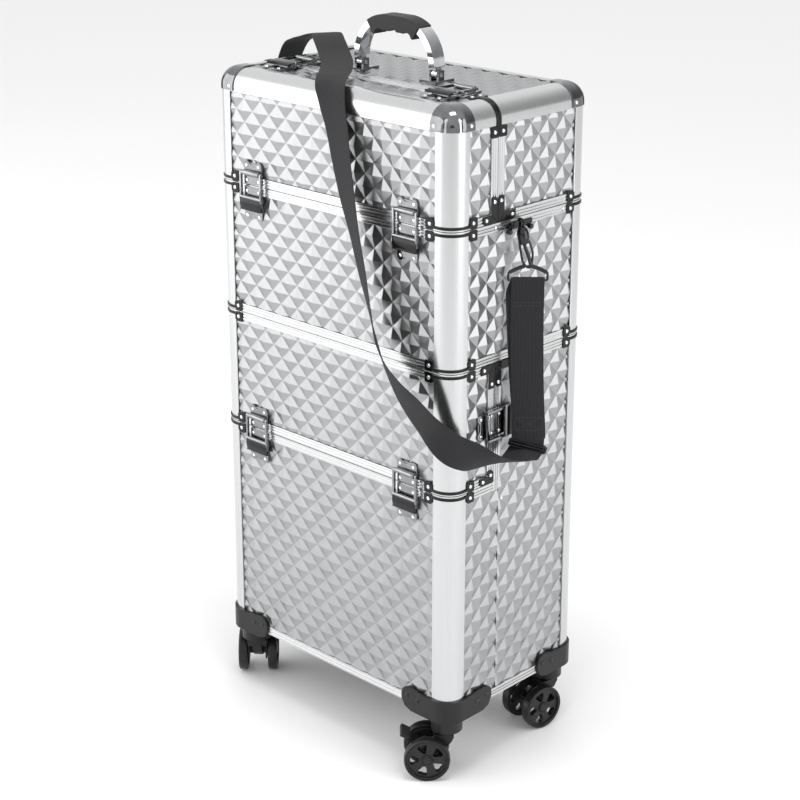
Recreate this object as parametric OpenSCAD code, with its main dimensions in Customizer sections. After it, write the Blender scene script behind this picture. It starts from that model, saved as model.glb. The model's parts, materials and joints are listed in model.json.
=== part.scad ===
// Rolling hairdressing case: a lift-off upper case on a wheeled lower case, millimetres.
// X runs along the width, the front faces -Y, Z is up and z = 0 is the floor.

/* [Case] */
// Width over the aluminium frame
case_w = 390; // [340:1:440]
// Depth over the aluminium frame
case_d = 236; // [220:1:280]
// Height of the case bottom above the floor
ground_gap = 88; // [84:1:100]
// Height of the bottom tier
bottom_h = 284; // [240:1:320]
// Height of the tier with the removable front cover
drawer_h = 148; // [130:1:200]
// Height of the upper tub
tub_h = 165; // [140:1:220]
// Height of the lid tier
lid_h = 137; // [120:1:180]
// Depth of the two front covers
cover_d = 74; // [68:1:84]

/* [Boards and profiles] */
// Thickness of the embossed boards
board_t = 4; // [3:0.5:5]
// Wall of the aluminium profiles, which is also how far the boards lie back
wall = 2; // [1.5:0.1:2.5]
// Outer radius of the corner posts and top edges
post_r = 22; // [18:1:24]
// Width of each leg of a corner post
post_leg = 27; // [26:1:30]
// Height of a ribbed rim profile
rim_h = 10.5; // [9:0.5:13]
// Depth of a ribbed rim profile
rim_t = 8; // [7.5:0.5:9]
// Height of the frame round the case bottom
base_h = 11; // [9:1:16]
// Thickness of the floor and top boards
floor_t = 6; // [4:1:8]
// Gap between two tiers at a seam
seam_gap = 0.6; // [0.4:0.1:1]

/* [Corner fittings] */
// Thickness of the black connectors
connector_t = 1.2; // [1:0.1:1.6]
// Width of the curved band of a connector
band_w = 3.4; // [2.6:0.2:5]
// Distance of the curved band from the seam
band_off = 2; // [1:0.2:3]
// Side of the square end of a connector
square_w = 13; // [11:1:15]
// Length of a leg of an L bracket
bracket_leg = 30; // [24:1:34]
// Thickness of the chrome ball caps
cap_t = 1.4; // [1:0.1:2]
// How far a ball cap reaches along the top edges past the round corner
cap_reach = 12; // [9:1:18]
// How far a ball cap reaches down the corner post past the round corner
cap_drop = 4; // [2:0.5:8]
// Radius of a rivet head
rivet_r = 2.3; // [1.8:0.1:3]
// Height of a rivet head
rivet_h = 0.9; // [0.6:0.1:1.2]

/* [Latches] */
// Distance of the middle of a front latch from the case side
latch_inset = 67; // [62:1:90]
// Width of a latch
latch_w = 38; // [32:1:44]
// Reach of the hinged latch plate from the seam
latch_up = 30; // [26:1:36]
// Reach of the catch plate from the seam on the other side
latch_down = 43; // [38:1:48]
// Thickness of a latch plate
plate_t = 1.5; // [1.2:0.1:2]
// Thickness of a latch lever
lever_t = 3; // [2.5:0.1:4]
// Distance of the lever pivot from the seam
pivot_up = 16; // [14:1:20]
// Reach of the lever tip from the seam
tip_down = 34; // [30:1:38]
// Height of the hook under the lever
hook_h = 1.6; // [1:0.1:2.4]
// Distance of the middle of a top clasp from the case side
clasp_inset = 65; // [62:1:90]
// Radius of a latch pin
latch_pin_r = 1.4; // [1.2:0.1:1.6]

/* [Carry handle] */
// Distance between the two handle feet
handle_span = 122; // [100:1:140]
// Height of the handle above the lid
handle_h = 68; // [60:1:80]
// Width of the chrome bow, along the depth of the case
bow_w = 19; // [14:1:22]
// Thickness of the chrome bow
bow_t = 8; // [5:1:9]
// Radius of the handle pivot pin
handle_pin_r = 2.5; // [2:0.1:3]

/* [Casters] */
// Radius of a caster wheel
wheel_r = 28; // [25:1:28]
// Width of a caster wheel
wheel_w = 12; // [10:1:14]
// Distance between the middles of twin wheels
twin_gap = 39; // [37:1:42]
// Distance from the swivel axis to the axle
trail = 24; // [18:1:26]
// Radius of the caster stem
stem_r = 5; // [4:0.5:6]
// Length of the stem inside the guard
stem_len = 20; // [12:1:22]
// Radius of the axle
axle_r = 3.5; // [3:0.5:4.5]
// Distance of the swivel axis from each case side
caster_inset = 24; // [22:1:28]
// Radius of the neck of a corner guard
neck_r = 19; // [17:1:20]
// Height of the underside of the neck above the floor
neck_z = 60; // [58:0.5:64]
// Length of a guard ear along the case side
ear_len = 74; // [60:1:84]
// How far the end of a guard ear rises above the case bottom
ear_rise = 22; // [18:1:28]
// How far a guard rises above the case bottom at the corner
ear_dip = 19; // [12:1:20]
// How far a guard reaches below the case bottom
ear_drop = 9; // [6:1:10]
// Thickness of a guard ear
ear_t = 3; // [2:0.5:4]

/* [Pull handle] */
// Distance of each pull handle tube from the middle
tube_x = 75; // [55:1:100]
// Outer radius of the fixed sleeves
sleeve_r = 10; // [9:0.5:11]
// Wall of the sleeves and tubes
tube_wall = 1; // [0.8:0.1:1.4]
// Height of the tubes above the lower case when pushed in
tube_up = 26; // [24:1:60]
// Length of the pull handle grip along the width
grip_w = 190; // [170:1:260]
// Travel of the push button
button_travel = 3; // [2:0.5:4]

/* [Strap] */
// Width of the webbing
strap_w = 38; // [30:1:40]
// Thickness of the webbing
strap_t = 1.6; // [1.2:0.1:2]

/* [Fits] */
// Clearance round every turning pin, axle and stem
fit = 0.05; // [0.02:0.01:0.08]
// Gap round a telescoping tube
slide_fit = 0.1; // [0.08:0.01:0.2]
// Gap between pieces that pass each other
gap = 0.3; // [0.25:0.05:0.5]

/* [Hidden] */
$fn = 48;
// Where the middle of the case lies, so that the whole object's box is centred
place_x = -2.5;
place_y = 6;
hw = case_w / 2;
hd = case_d / 2;
latch_x = hw - latch_inset;
clasp_x = hw - clasp_inset;
z_base = ground_gap;
z_cover = z_base + bottom_h;
z_split = z_cover + drawer_h;
z_lid = z_split + tub_h;
z_top = z_lid + lid_h;
seam_y = -hd + cover_d;
half_gap = seam_gap / 2;
board_in = wall + board_t;
silver = "silver";
black = [0.12, 0.12, 0.13];
chrome = [0.75, 0.76, 0.78];
BOTH = [-1, 1];
// Where each caster points at rest, as the angle of its trail
caster_turn = [134, 224, 200, 260];

// Places its children with the middle of the case
module placed() translate([place_x, place_y, 0]) children();

// Puts a part made for the front right corner at the corner on side sx, sy
module corner(sx, sy)
    mirror([sx < 0 ? 1 : 0, 0, 0]) mirror([0, sy > 0 ? 1 : 0, 0]) translate([hw, -hd, 0]) children();

// Repeats a part made for the right side on both sides
module both_sides() for (s = BOTH) mirror([s < 0 ? 1 : 0, 0, 0]) children();

// A square with its outer corner at the origin rounded off
module round_square(side, r) {
    translate([-side, r]) square([side, side - r]);
    translate([-side, 0]) square([side - r, side]);
    intersection() {
        translate([-r, r]) circle(r);
        translate([-r, 0]) square(r);
    }
}

// The section of a corner post or a top edge, a round-nosed angle
module angle_section() difference() {
    round_square(post_leg, post_r);
    translate([-wall, wall]) round_square(post_leg, post_r - wall);
}

// One corner post between two heights
module post(sx, sy, low, high)
    corner(sx, sy) translate([0, 0, low]) linear_extrude(high - low) angle_section();

// The section of a rim: a bar with two grooves in its outer face, at x = 0
module rim_section(height = rim_h) difference() {
    square([rim_t, height]);
    for (k = [1, 2]) translate([-1, height * k / 3 - 0.7]) square([1.8, 1.4]);
}

// A rim along X on the front, or on the back, between the posts
module rim_x(low, back = false) mirror([0, back ? 1 : 0, 0])
    translate([-hw + post_leg, -hd, low]) rotate([90, 0, 90])
        linear_extrude(case_w - 2 * post_leg) rim_section();

// Rims along Y on both sides from y = a to y = b
module rims_y(low, a, b) both_sides()
    translate([hw, b, low]) rotate([90, 0, 0]) mirror([1, 0, 0]) linear_extrude(b - a) rim_section();

// Upright rims on both sides, whose low-Y face is at y = a
module rims_z(a, low, high) both_sides()
    translate([hw, a, low]) linear_extrude(high - low) mirror([1, 0]) rim_section();

// A flat board between two corner points
module board(low, high) translate(low) cube(high - low);

// Boards of the front or the back between two heights
module board_x(low, high, back = false) mirror([0, back ? 1 : 0, 0])
    board([-hw + post_r, -hd + wall, low], [hw - post_r, -hd + board_in, high]);

// Boards of both sides from y = a to y = b between two heights
module boards_y(low, high, a, b) both_sides()
    board([hw - board_in, a, low], [hw - wall, b, high]);

// A connector round a post at the front right corner: a curved band with two square ends.
// It rises from z = 0, and down turns it over so that it hangs from z = 0.
module connector(down = false) mirror([0, 0, down ? 1 : 0]) {
    translate([-post_r, post_r, 0]) rotate([0, 0, -90]) rotate_extrude(angle = 90)
        translate([post_r, band_off]) square([connector_t, band_w]);
    for (turn = [0, 1]) mirror([turn, turn, 0]) {
        translate([-post_leg, -connector_t, band_off]) cube([post_leg - post_r, connector_t, band_w]);
        translate([-post_leg - square_w, -connector_t, 0]) cube([square_w, connector_t, square_w]);
    }
}

// Connectors at the four corners, or at the two front or two rear ones
module connectors(z, down, rows = BOTH) for (sy = rows, sx = BOTH)
    corner(sx, sy) translate([0, 0, z]) connector(down);

// A flat L bracket on the right side at the end of an upright rim. It turns the corner
// at (y, z), its legs run to y + ay and z + az, and it is as wide as a rim.
module l_bracket(y, z, ay, az) both_sides() {
    translate([hw, min(y, y + ay), min(z, z + sign(az) * rim_h)]) cube([connector_t, abs(ay), rim_h]);
    translate([hw, min(y, y + sign(ay) * rim_h), min(z, z + az)]) cube([connector_t, rim_h, abs(az)]);
}

// The solid round corner of the case, seen from its outer corner, grown by g
module round_corner(g, reach) {
    r = post_r + g;
    sphere(r);
    translate([-reach, 0, 0]) rotate([0, 90, 0]) cylinder(h = reach, r = r);
    translate([0, reach, 0]) rotate([90, 0, 0]) cylinder(h = reach, r = r);
    translate([0, 0, -reach]) cylinder(h = reach, r = r);
    translate([-reach, 0, -reach]) cube([reach, reach, reach + r]);
    translate([-reach, -r, -reach]) cube([reach, reach + r, reach]);
    translate([-reach, 0, -reach]) cube([reach + r, reach, reach]);
}

slot_w = 3.6;

// A chrome cap over a top corner, with two slots that leave a claw on the edge
module ball_cap(sx, sy) corner(sx, sy) translate([-post_r, post_r, z_top - post_r]) difference() {
    intersection() {
        round_corner(cap_t, cap_reach);
        translate([-cap_reach, -2 * post_r, -cap_drop])
            cube([3 * post_r, cap_reach + 2 * post_r, 3 * post_r]);
    }
    round_corner(0, cap_reach + 1);
    for (a = [-22, -68]) rotate([0, 0, a]) translate([post_r / 2, -slot_w / 2, -cap_drop - 1])
        cube([post_r, slot_w, cap_drop + 1 + post_r / 2]);
}

// A rivet head on the front face, at x and z, standing off by lift
module rivet_front(x, z, lift = 0) translate([x, -hd - lift, z]) rotate([90, 0, 0])
    cylinder(h = rivet_h, r1 = rivet_r, r2 = rivet_r * 0.6);

// A rivet head on the right side face, at y and z, standing off by lift
module rivet_side(y, z, lift = 0) translate([hw + lift, y, z]) rotate([0, 90, 0])
    cylinder(h = rivet_h, r1 = rivet_r, r2 = rivet_r * 0.6);

// Rivets on the square ends of the connectors that turn up or down at height z
module connector_rivets(z, down, rows = BOTH) {
    at = post_leg + square_w / 2;
    zz = down ? z - square_w / 2 : z + square_w / 2;
    for (sy = rows) mirror([0, sy > 0 ? 1 : 0, 0]) {
        for (s = BOTH) rivet_front(s * (hw - at), zz, connector_t);
        both_sides() rivet_side(-hd + at, zz, connector_t);
    }
}

// Latch parts lie in the XZ plane, face towards -Y, with the seam at z = 0

rail_w = 3;
plate_half = latch_w / 2 - rail_w - 2 * gap;
lever_in = plate_t + hook_h + gap;
pivot_out = lever_in + lever_t / 2;
sleeve_out = lever_t / 2 + 1.3;

// Two rivet heads on a latch plate at height z
module plate_rivets(z) for (s = BOTH) translate([s * (plate_half - 4.5), -plate_t, z])
    rotate([90, 0, 0]) cylinder(h = rivet_h, r1 = rivet_r, r2 = rivet_r * 0.6);

// A latch plate between two heights, with a pad that fills the step down to the board
module plate_with_pad(low, high, pad_low, pad_high) {
    translate([-plate_half, -plate_t, low]) cube([2 * plate_half, plate_t, high - low]);
    translate([-plate_half + 1, -plate_t / 2, pad_low])
        cube([2 * plate_half - 2, plate_t / 2 + wall, pad_high - pad_low]);
}

// The hinged latch plate, with the rolled sleeve that holds the pin of the lever frame
module latch_plate() {
    plate_with_pad(1.5, latch_up, rim_h + 2 * half_gap, latch_up - 1);
    plate_rivets(latch_up - 6);
    plate_rivets(6);
    difference() {
        union() {
            translate([0, -pivot_out, pivot_up]) rotate([0, 90, 0])
                cylinder(h = 2 * plate_half, r = sleeve_out, center = true);
            translate([-plate_half, -pivot_out, pivot_up - 1.2])
                cube([2 * plate_half, pivot_out - plate_t / 2, 2.4]);
        }
        translate([0, -pivot_out, pivot_up]) rotate([0, 90, 0])
            cylinder(h = latch_w, r = latch_pin_r + fit, center = true);
    }
}

// The catch plate, with its hook under the lever
module catch_plate() {
    plate_with_pad(-latch_down, -1.5, 1 - latch_down, -rim_h - 2 * half_gap);
    plate_rivets(6 - latch_down);
    plate_rivets(-7);
    translate([-plate_half + 4, -plate_t - hook_h, -24]) cube([2 * plate_half - 8, hook_h + 0.5, 5]);
}

// The lever frame: a pin in the sleeve, two side rails and the broad lever at their ends
module latch_lever() {
    translate([0, -pivot_out, pivot_up]) rotate([0, 90, 0])
        cylinder(h = latch_w - 1, r = latch_pin_r, center = true);
    for (s = BOTH) {
        translate([s * (latch_w / 2 - rail_w / 2) - rail_w / 2, -lever_in - lever_t, -20])
            cube([rail_w, lever_t, pivot_up + 20]);
        translate([s * (latch_w / 2 - rail_w / 2), -pivot_out, pivot_up]) rotate([0, 90, 0])
            cylinder(h = rail_w, r = lever_t / 2, center = true);
    }
    translate([-latch_w / 2, -lever_in - lever_t, -tip_down]) cube([latch_w, lever_t, tip_down - 15]);
    translate([0, -pivot_out - 0.4, -15]) rotate([0, 90, 0]) cylinder(h = latch_w, r = 1.9, center = true);
    translate([-latch_w / 2 + 3, -lever_in - lever_t - 1.2, -tip_down]) cube([latch_w - 6, 2, 15]);
}

// Puts latch parts at their places
module on_front(x, z) translate([x, -hd, z]) children();
module on_side(z) translate([hw, seam_y, z]) rotate([0, 0, 90]) rotate([0, -90, 0]) children();
module on_top(x) translate([x, seam_y, z_top]) rotate([-90, 0, 0]) children();
side_latch_z = z_cover + drawer_h / 2;

// The lower case

module lower_panels() color(silver) placed() {
    board_x(z_base + base_h, z_cover - rim_h - half_gap);
    board_x(z_base + base_h, z_split - rim_h - half_gap, true);
    both_sides() difference() {
        board([hw - board_in, -hd + post_r, z_base + base_h],
            [hw - wall, hd - post_r, z_split - rim_h - half_gap]);
        board([hw - board_in - 1, -hd, z_cover - rim_h - half_gap], [hw, seam_y + rim_h + half_gap, z_split]);
    }
}

module lower_boards() color([0.2, 0.2, 0.22]) placed() {
    board([-hw + rim_t, -hd + rim_t, z_base + 1], [hw - rim_t, hd - rim_t, z_base + 1 + floor_t]);
    board([-hw + rim_t, seam_y + half_gap, z_split - half_gap - floor_t],
        [hw - rim_t, hd - rim_t, z_split - half_gap]);
}

module lower_frame() color(silver) placed() {
    for (sx = BOTH) {
        post(sx, -1, z_base, z_cover - half_gap);
        post(sx, 1, z_base, z_split - half_gap);
    }
    for (back = [0, 1]) mirror([0, back, 0]) translate([-hw + post_leg, -hd, z_base]) rotate([90, 0, 90])
        linear_extrude(case_w - 2 * post_leg) rim_section(base_h);
    both_sides() translate([hw, hd - post_leg, z_base]) rotate([90, 0, 0]) mirror([1, 0, 0])
        linear_extrude(case_d - 2 * post_leg) rim_section(base_h);
    rim_x(z_cover - rim_h - half_gap);
    rims_y(z_cover - rim_h - half_gap, -hd + post_leg, seam_y + half_gap);
    rims_z(seam_y + half_gap, z_cover - rim_h - half_gap, z_split - half_gap);
    rims_y(z_split - rim_h - half_gap, seam_y + half_gap + rim_h, hd - post_leg);
    rim_x(z_split - rim_h - half_gap, true);
}

module lower_connectors() color(black) placed() {
    connectors(z_cover - half_gap, true, [-1]);
    connectors(z_split - half_gap, true, [1]);
    l_bracket(seam_y + half_gap, z_split - half_gap, bracket_leg, -bracket_leg);
}

module lower_rivets() color(chrome) placed() {
    connector_rivets(z_cover - half_gap, true, [-1]);
    connector_rivets(z_split - half_gap, true, [1]);
    for (sy = BOTH) mirror([0, sy > 0 ? 1 : 0, 0]) for (k = [0, 1]) {
        for (s = BOTH) rivet_front(s * (hw - ear_len + 9 + k * 17), z_base + 11 - k * 2, ear_t);
        both_sides() rivet_side(-hd + ear_len - 9 - k * 17, z_base + 11 - k * 2, ear_t);
    }
    both_sides() for (y = [seam_y + 18, hd - 50]) rivet_side(y, z_cover - 26, -wall);
}

// The outline of a guard ear: along the face from the corner, and up from the case bottom
module ear_outline() {
    r = ear_rise / 2;
    translate([ear_len - r, r]) circle(r);
    polygon([[post_r, -ear_drop], [ear_len - 16, -ear_drop], [ear_len - 5, -ear_drop + 4], [ear_len, 4],
        [ear_len, r], [ear_len - r, ear_rise], [ear_len - r - 6, ear_rise - 0.4],
        [ear_len - r - 16, ear_dip + (ear_rise - ear_dip) * 0.3], [ear_len - r - 27, ear_dip],
        [post_r, ear_dip]]);
}

// A black guard round a bottom corner, with its neck and the socket of a caster stem
module guard(sx, sy) color(black) placed() corner(sx, sy) difference() {
    union() {
        for (turn = [0, 1]) mirror([turn, turn, 0]) translate([0, 0, z_base]) rotate([90, 0, 0])
            linear_extrude(ear_t) mirror([1, 0]) ear_outline();
        translate([-post_r, post_r, z_base - ear_drop]) rotate([0, 0, -90]) rotate_extrude(angle = 90)
            translate([post_r, 0]) square([ear_t, ear_drop + ear_dip]);
        translate([0, 0, z_base - ear_t]) linear_extrude(ear_t) intersection() {
            round_square(ear_len, post_r);
            translate([-caster_inset, caster_inset]) circle(ear_len * 0.72);
        }
        translate([-caster_inset, caster_inset, neck_z]) cylinder(h = z_base - neck_z, r = neck_r);
        translate([-caster_inset, caster_inset, z_base - ear_drop - 3])
            cylinder(h = ear_drop + 3, r1 = neck_r, r2 = neck_r + 4);
    }
    translate([-caster_inset, caster_inset, neck_z - 1]) cylinder(h = stem_len + 2, r = stem_r + fit);
}

module guard_front_left() guard(-1, -1);
module guard_front_right() guard(1, -1);
module guard_rear_left() guard(-1, 1);
module guard_rear_right() guard(1, 1);

module lower_catch_plates() color(chrome) placed() {
    for (s = BOTH) on_front(s * latch_x, z_cover) catch_plate();
    both_sides() on_side(side_latch_z) catch_plate();
}

// The pull handle at the back

hinge_r = 3;
grip_t = 20;
sleeve_y = hd + 2 * hinge_r + 2 * gap + grip_t / 2 + 1;
sleeve_low = z_base + 38;
mid_r = sleeve_r - tube_wall - slide_fit;
inner_r = mid_r - tube_wall - slide_fit;
sleeve_top = z_split - 14;
grip_low = sleeve_top + tube_up;
grip_h = 22;

module handle_sleeves() color(black) placed() {
    for (s = BOTH) translate([s * tube_x, sleeve_y, 0]) difference() {
        union() {
            translate([0, 0, sleeve_low]) cylinder(h = sleeve_top - sleeve_low, r = sleeve_r);
            for (z = [sleeve_low, sleeve_top - 30])
                translate([-sleeve_r - 8, -sleeve_y + hd - wall, z])
                    cube([2 * sleeve_r + 16, sleeve_y - hd + wall, 30]);
        }
        translate([0, 0, sleeve_low + 3]) cylinder(h = sleeve_top, r = sleeve_r - tube_wall);
    }
}

module pull_handle_mid() color(chrome) placed() for (s = BOTH) translate([s * tube_x, sleeve_y, 0]) {
    difference() {
        translate([0, 0, sleeve_low + 3 + gap]) cylinder(h = grip_low - 9 - sleeve_low, r = mid_r);
        translate([0, 0, sleeve_low + 6]) cylinder(h = grip_low, r = mid_r - tube_wall);
    }
    translate([0, 0, sleeve_top + gap]) difference() {
        cylinder(h = grip_low - 6 + gap - sleeve_top - gap, r = sleeve_r);
        translate([0, 0, -1]) cylinder(h = tube_up * 2, r = mid_r - 0.2);
    }
}

module pull_handle_grip() color(black) placed() difference() {
    union() {
        for (s = BOTH) translate([s * tube_x, sleeve_y, sleeve_low + 6 + gap])
            cylinder(h = grip_low + 4 - sleeve_low - 6, r = inner_r);
        translate([-grip_w / 2, sleeve_y - grip_t / 2, grip_low]) cube([grip_w, grip_t, grip_h]);
    }
    translate([-20 - gap, sleeve_y - 6 - gap, grip_low + grip_h - 8]) cube([40 + 2 * gap, 12 + 2 * gap, 20]);
}

module pull_handle_button() color(black) placed()
    translate([-20, sleeve_y - 6, grip_low + grip_h - 8 + button_travel + gap]) cube([40, 12, 8]);

// The removable cover of the lower case

cover_back = seam_y - half_gap;

module lower_cover_panels() color(silver) placed() {
    board_x(z_cover + rim_h + half_gap, z_split - rim_h - half_gap);
    boards_y(z_cover + rim_h + half_gap, z_split - rim_h - half_gap, -hd + post_r, cover_back - rim_h);
    board([-hw + rim_t, -hd + rim_t, z_split - half_gap - floor_t],
        [hw - rim_t, cover_back, z_split - half_gap]);
}

// The rims of a front cover: low and high rows on the front and sides, and upright rims
module cover_rims(low, high, top) {
    rim_x(low);
    rims_y(low, -hd + post_leg, cover_back - rim_h);
    rims_z(cover_back - rim_h, low, high);
    if (top) {
        rim_x(high - rim_h);
        rims_y(high - rim_h, -hd + post_leg, cover_back - rim_h);
    }
}

module lower_cover_frame() color(silver) placed() {
    for (sx = BOTH) post(sx, -1, z_cover + half_gap, z_split - half_gap);
    cover_rims(z_cover + half_gap, z_split - half_gap, true);
}

module lower_cover_connectors() color(black) placed() {
    connectors(z_cover + half_gap, false, [-1]);
    connectors(z_split - half_gap, true, [-1]);
    l_bracket(cover_back, z_split - half_gap, -bracket_leg + 6, -bracket_leg);
    l_bracket(cover_back, z_cover + half_gap, -bracket_leg + 6, bracket_leg - 14);
}

module lower_latch_plates() color(chrome) placed() {
    for (s = BOTH) on_front(s * latch_x, z_cover) latch_plate();
    both_sides() on_side(side_latch_z) latch_plate();
}

module lower_latch_left() color(chrome) placed() on_front(-latch_x, z_cover) latch_lever();
module lower_latch_right() color(chrome) placed() on_front(latch_x, z_cover) latch_lever();
module side_latch_right() color(chrome) placed() on_side(side_latch_z) latch_lever();
module side_latch_left() color(chrome) placed() mirror([1, 0, 0]) on_side(side_latch_z) latch_lever();

// The upper case

module upper_panels() color(silver) placed() {
    low = z_split + rim_h + half_gap;
    high = z_lid - rim_h - half_gap;
    for (back = [false, true]) board_x(low, high, back);
    boards_y(low, high, -hd + post_r, hd - post_r);
}

module upper_floor() color([0.2, 0.2, 0.22]) placed()
    board([-hw + rim_t, -hd + rim_t, z_split + half_gap],
        [hw - rim_t, hd - rim_t, z_split + half_gap + floor_t]);

module upper_frame() color(silver) placed() {
    for (sx = BOTH, sy = BOTH) post(sx, sy, z_split + half_gap, z_lid - half_gap);
    for (low = [z_split + half_gap, z_lid - rim_h - half_gap]) {
        for (back = [false, true]) rim_x(low, back);
        rims_y(low, -hd + post_leg, hd - post_leg);
    }
}

module upper_connectors() color(black) placed() {
    connectors(z_split + half_gap, false);
    connectors(z_lid - half_gap, true);
}

eye_x = hw + 20;
eye_y = -14;
eye_z = z_lid - rim_h - 7;

module upper_rivets() color(chrome) placed() {
    connector_rivets(z_split + half_gap, false);
    connector_rivets(z_lid - half_gap, true);
    both_sides() for (y = [seam_y - 2, hd - 45]) rivet_side(y, z_lid - half_gap - rim_h / 2);
}

module upper_catch_plates() color(chrome) placed()
    for (s = BOTH) on_front(s * latch_x, z_lid) catch_plate();

// Wire eyes of the strap: two lugs on the board and a bar across them
module strap_eyes() color(chrome) placed() both_sides() {
    for (s = BOTH) translate([hw - wall, eye_y + s * 12 - 2, eye_z - 6]) cube([3, 4, 12]);
    for (s = BOTH) translate([hw - wall, eye_y + s * 12, eye_z]) rotate([0, 90, 0])
        cylinder(h = eye_x - hw + wall, r = eye_bar_r);
    translate([eye_x, eye_y - 12 - eye_bar_r, eye_z]) rotate([-90, 0, 0])
        cylinder(h = 24 + 2 * eye_bar_r, r = eye_bar_r);
}

// The lid hinge along the back: leaves on each side and knuckles round one pin

hinge_pin_r = 1.4;
knuckles = 7;
hinge_w = case_w - 2 * post_leg - 2 * square_w - 10;
hinge_y = hd + hinge_r + gap;
// Height and thickness of a hinge leaf, and how far it goes under its knuckle
leaf_h = 12.5;
leaf_t = 2;
leaf_in = 0.5;
knuckle_w = hinge_w / knuckles;

// The knuckles whose number is even or odd, with their bore
module knuckle_row(odd, bore) for (k = [odd : 2 : knuckles - 1])
    translate([-hinge_w / 2 + k * knuckle_w + gap / 2, hinge_y, z_lid]) rotate([0, 90, 0]) difference() {
        cylinder(h = knuckle_w - gap, r = hinge_r);
        if (bore) translate([0, 0, -1]) cylinder(h = knuckle_w + 2, r = hinge_pin_r + fit);
    }

module lid_hinge_case() color(chrome) placed() {
    knuckle_row(0, false);
    translate([-hinge_w / 2 + gap, hinge_y, z_lid]) rotate([0, 90, 0])
        cylinder(h = hinge_w - 2 * gap, r = hinge_pin_r);
    for (k = [0 : 2 : knuckles - 1])
        translate([-hinge_w / 2 + k * knuckle_w + gap / 2, hd, z_lid - hinge_r - leaf_h + leaf_in])
            cube([knuckle_w - gap, leaf_t, leaf_h]);
}

module lid_hinge_lid() color(chrome) placed() {
    knuckle_row(1, true);
    for (k = [1 : 2 : knuckles - 1])
        translate([-hinge_w / 2 + k * knuckle_w + gap / 2, hd, z_lid + hinge_r - leaf_in])
            cube([knuckle_w - gap, leaf_t, leaf_h]);
}

// The removable cover of the lid tier and the hinged lid behind it

// A top edge along X at the front, or at the back
module edge_x(back = false) mirror([0, back ? 1 : 0, 0]) translate([-hw + post_r, -hd, z_top])
    rotate([90, 0, 90]) linear_extrude(case_w - 2 * post_r) rotate(180) angle_section();

// Top edges along Y on both sides
module edges_y(a, b) both_sides() translate([hw, b, z_top]) rotate([90, 0, 0])
    linear_extrude(b - a) mirror([0, 1]) angle_section();

// The rim along X on the top, whose low-Y face is at y = a
module top_rim(a) translate([-hw + post_leg, a, z_top]) rotate([0, 90, 0])
    linear_extrude(case_w - 2 * post_leg) rim_section();

// A black band over both top edges whose low-Y face is at y = a, with its square ends
module edge_bands(a, ends_y) both_sides() {
    translate([hw - post_r, a, z_top - post_r]) rotate([-90, 0, 0]) rotate([0, 0, -90])
        rotate_extrude(angle = 90) translate([post_r, 0]) square([connector_t, band_w]);
    translate([hw - post_leg - square_w, ends_y, z_top]) cube([square_w, square_w, connector_t]);
    translate([hw - post_leg, a, z_top]) cube([post_leg - post_r, band_w, connector_t]);
    translate([hw, ends_y, z_top - post_leg - square_w]) cube([connector_t, square_w, square_w]);
    translate([hw, a, z_top - post_leg]) cube([connector_t, band_w, post_leg - post_r]);
}

module upper_cover_panels() color(silver) placed() {
    low = z_lid + rim_h + half_gap;
    board_x(low, z_top - post_r);
    boards_y(low, z_top - post_r, -hd + post_r, cover_back - rim_h);
    board([-hw + post_r, -hd + post_r, z_top - board_in], [hw - post_r, cover_back - rim_h, z_top - wall]);
}

module upper_cover_frame() color(silver) placed() {
    for (sx = BOTH) post(sx, -1, z_lid + half_gap, z_top - post_r);
    cover_rims(z_lid + half_gap, z_top - post_leg, false);
    edge_x();
    edges_y(-hd + post_r, cover_back);
    top_rim(cover_back - rim_h);
}

module upper_cover_connectors() color(black) placed() {
    connectors(z_lid + half_gap, false, [-1]);
    l_bracket(cover_back, z_lid + half_gap, -bracket_leg + 6, bracket_leg);
    edge_bands(cover_back - band_w, cover_back - square_w);
}

module cover_ball_caps() color(chrome) placed() for (sx = BOTH) ball_cap(sx, -1);

module upper_latch_plates() color(chrome) placed() {
    for (s = BOTH) on_front(s * latch_x, z_lid) latch_plate();
    for (s = BOTH) on_top(s * clasp_x) catch_plate();
}

module upper_latch_left() color(chrome) placed() on_front(-latch_x, z_lid) latch_lever();
module upper_latch_right() color(chrome) placed() on_front(latch_x, z_lid) latch_lever();

lid_front = seam_y + half_gap;

module lid_panels() color(silver) placed() {
    low = z_lid + rim_h + half_gap;
    board_x(low, z_top - post_r, true);
    boards_y(low, z_top - post_r, lid_front + rim_h, hd - post_r);
    board([-hw + post_r, lid_front + rim_h, z_top - board_in], [hw - post_r, hd - post_r, z_top - wall]);
}

module lid_frame() color(silver) placed() {
    for (sx = BOTH) post(sx, 1, z_lid + half_gap, z_top - post_r);
    rim_x(z_lid + half_gap, true);
    rims_y(z_lid + half_gap, lid_front + rim_h, hd - post_leg);
    rims_z(lid_front, z_lid + half_gap, z_top - post_leg);
    edge_x(true);
    edges_y(lid_front, hd - post_r);
    top_rim(lid_front);
}

module lid_connectors() color(black) placed() {
    connectors(z_lid + half_gap, false, [1]);
    l_bracket(lid_front, z_lid + half_gap, bracket_leg, bracket_leg);
    edge_bands(lid_front, lid_front);
}

module lid_ball_caps() color(chrome) placed() for (sx = BOTH) ball_cap(sx, 1);

module lid_clasp_plates() color(chrome) placed() for (s = BOTH) on_top(s * clasp_x) latch_plate();

module top_clasp_left() color(chrome) placed() on_top(-clasp_x) latch_lever();
module top_clasp_right() color(chrome) placed() on_top(clasp_x) latch_lever();

// The carry handle

handle_axis_z = z_top + 7;
bow_r = handle_span / 2 - 12;
bow_centre_x = handle_span / 2 - bow_r;
// How far the middle of the arch lies above the pivot, and the angle where each arm ends in the grip
bow_up = 8;
bow_turn = 72;

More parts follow.
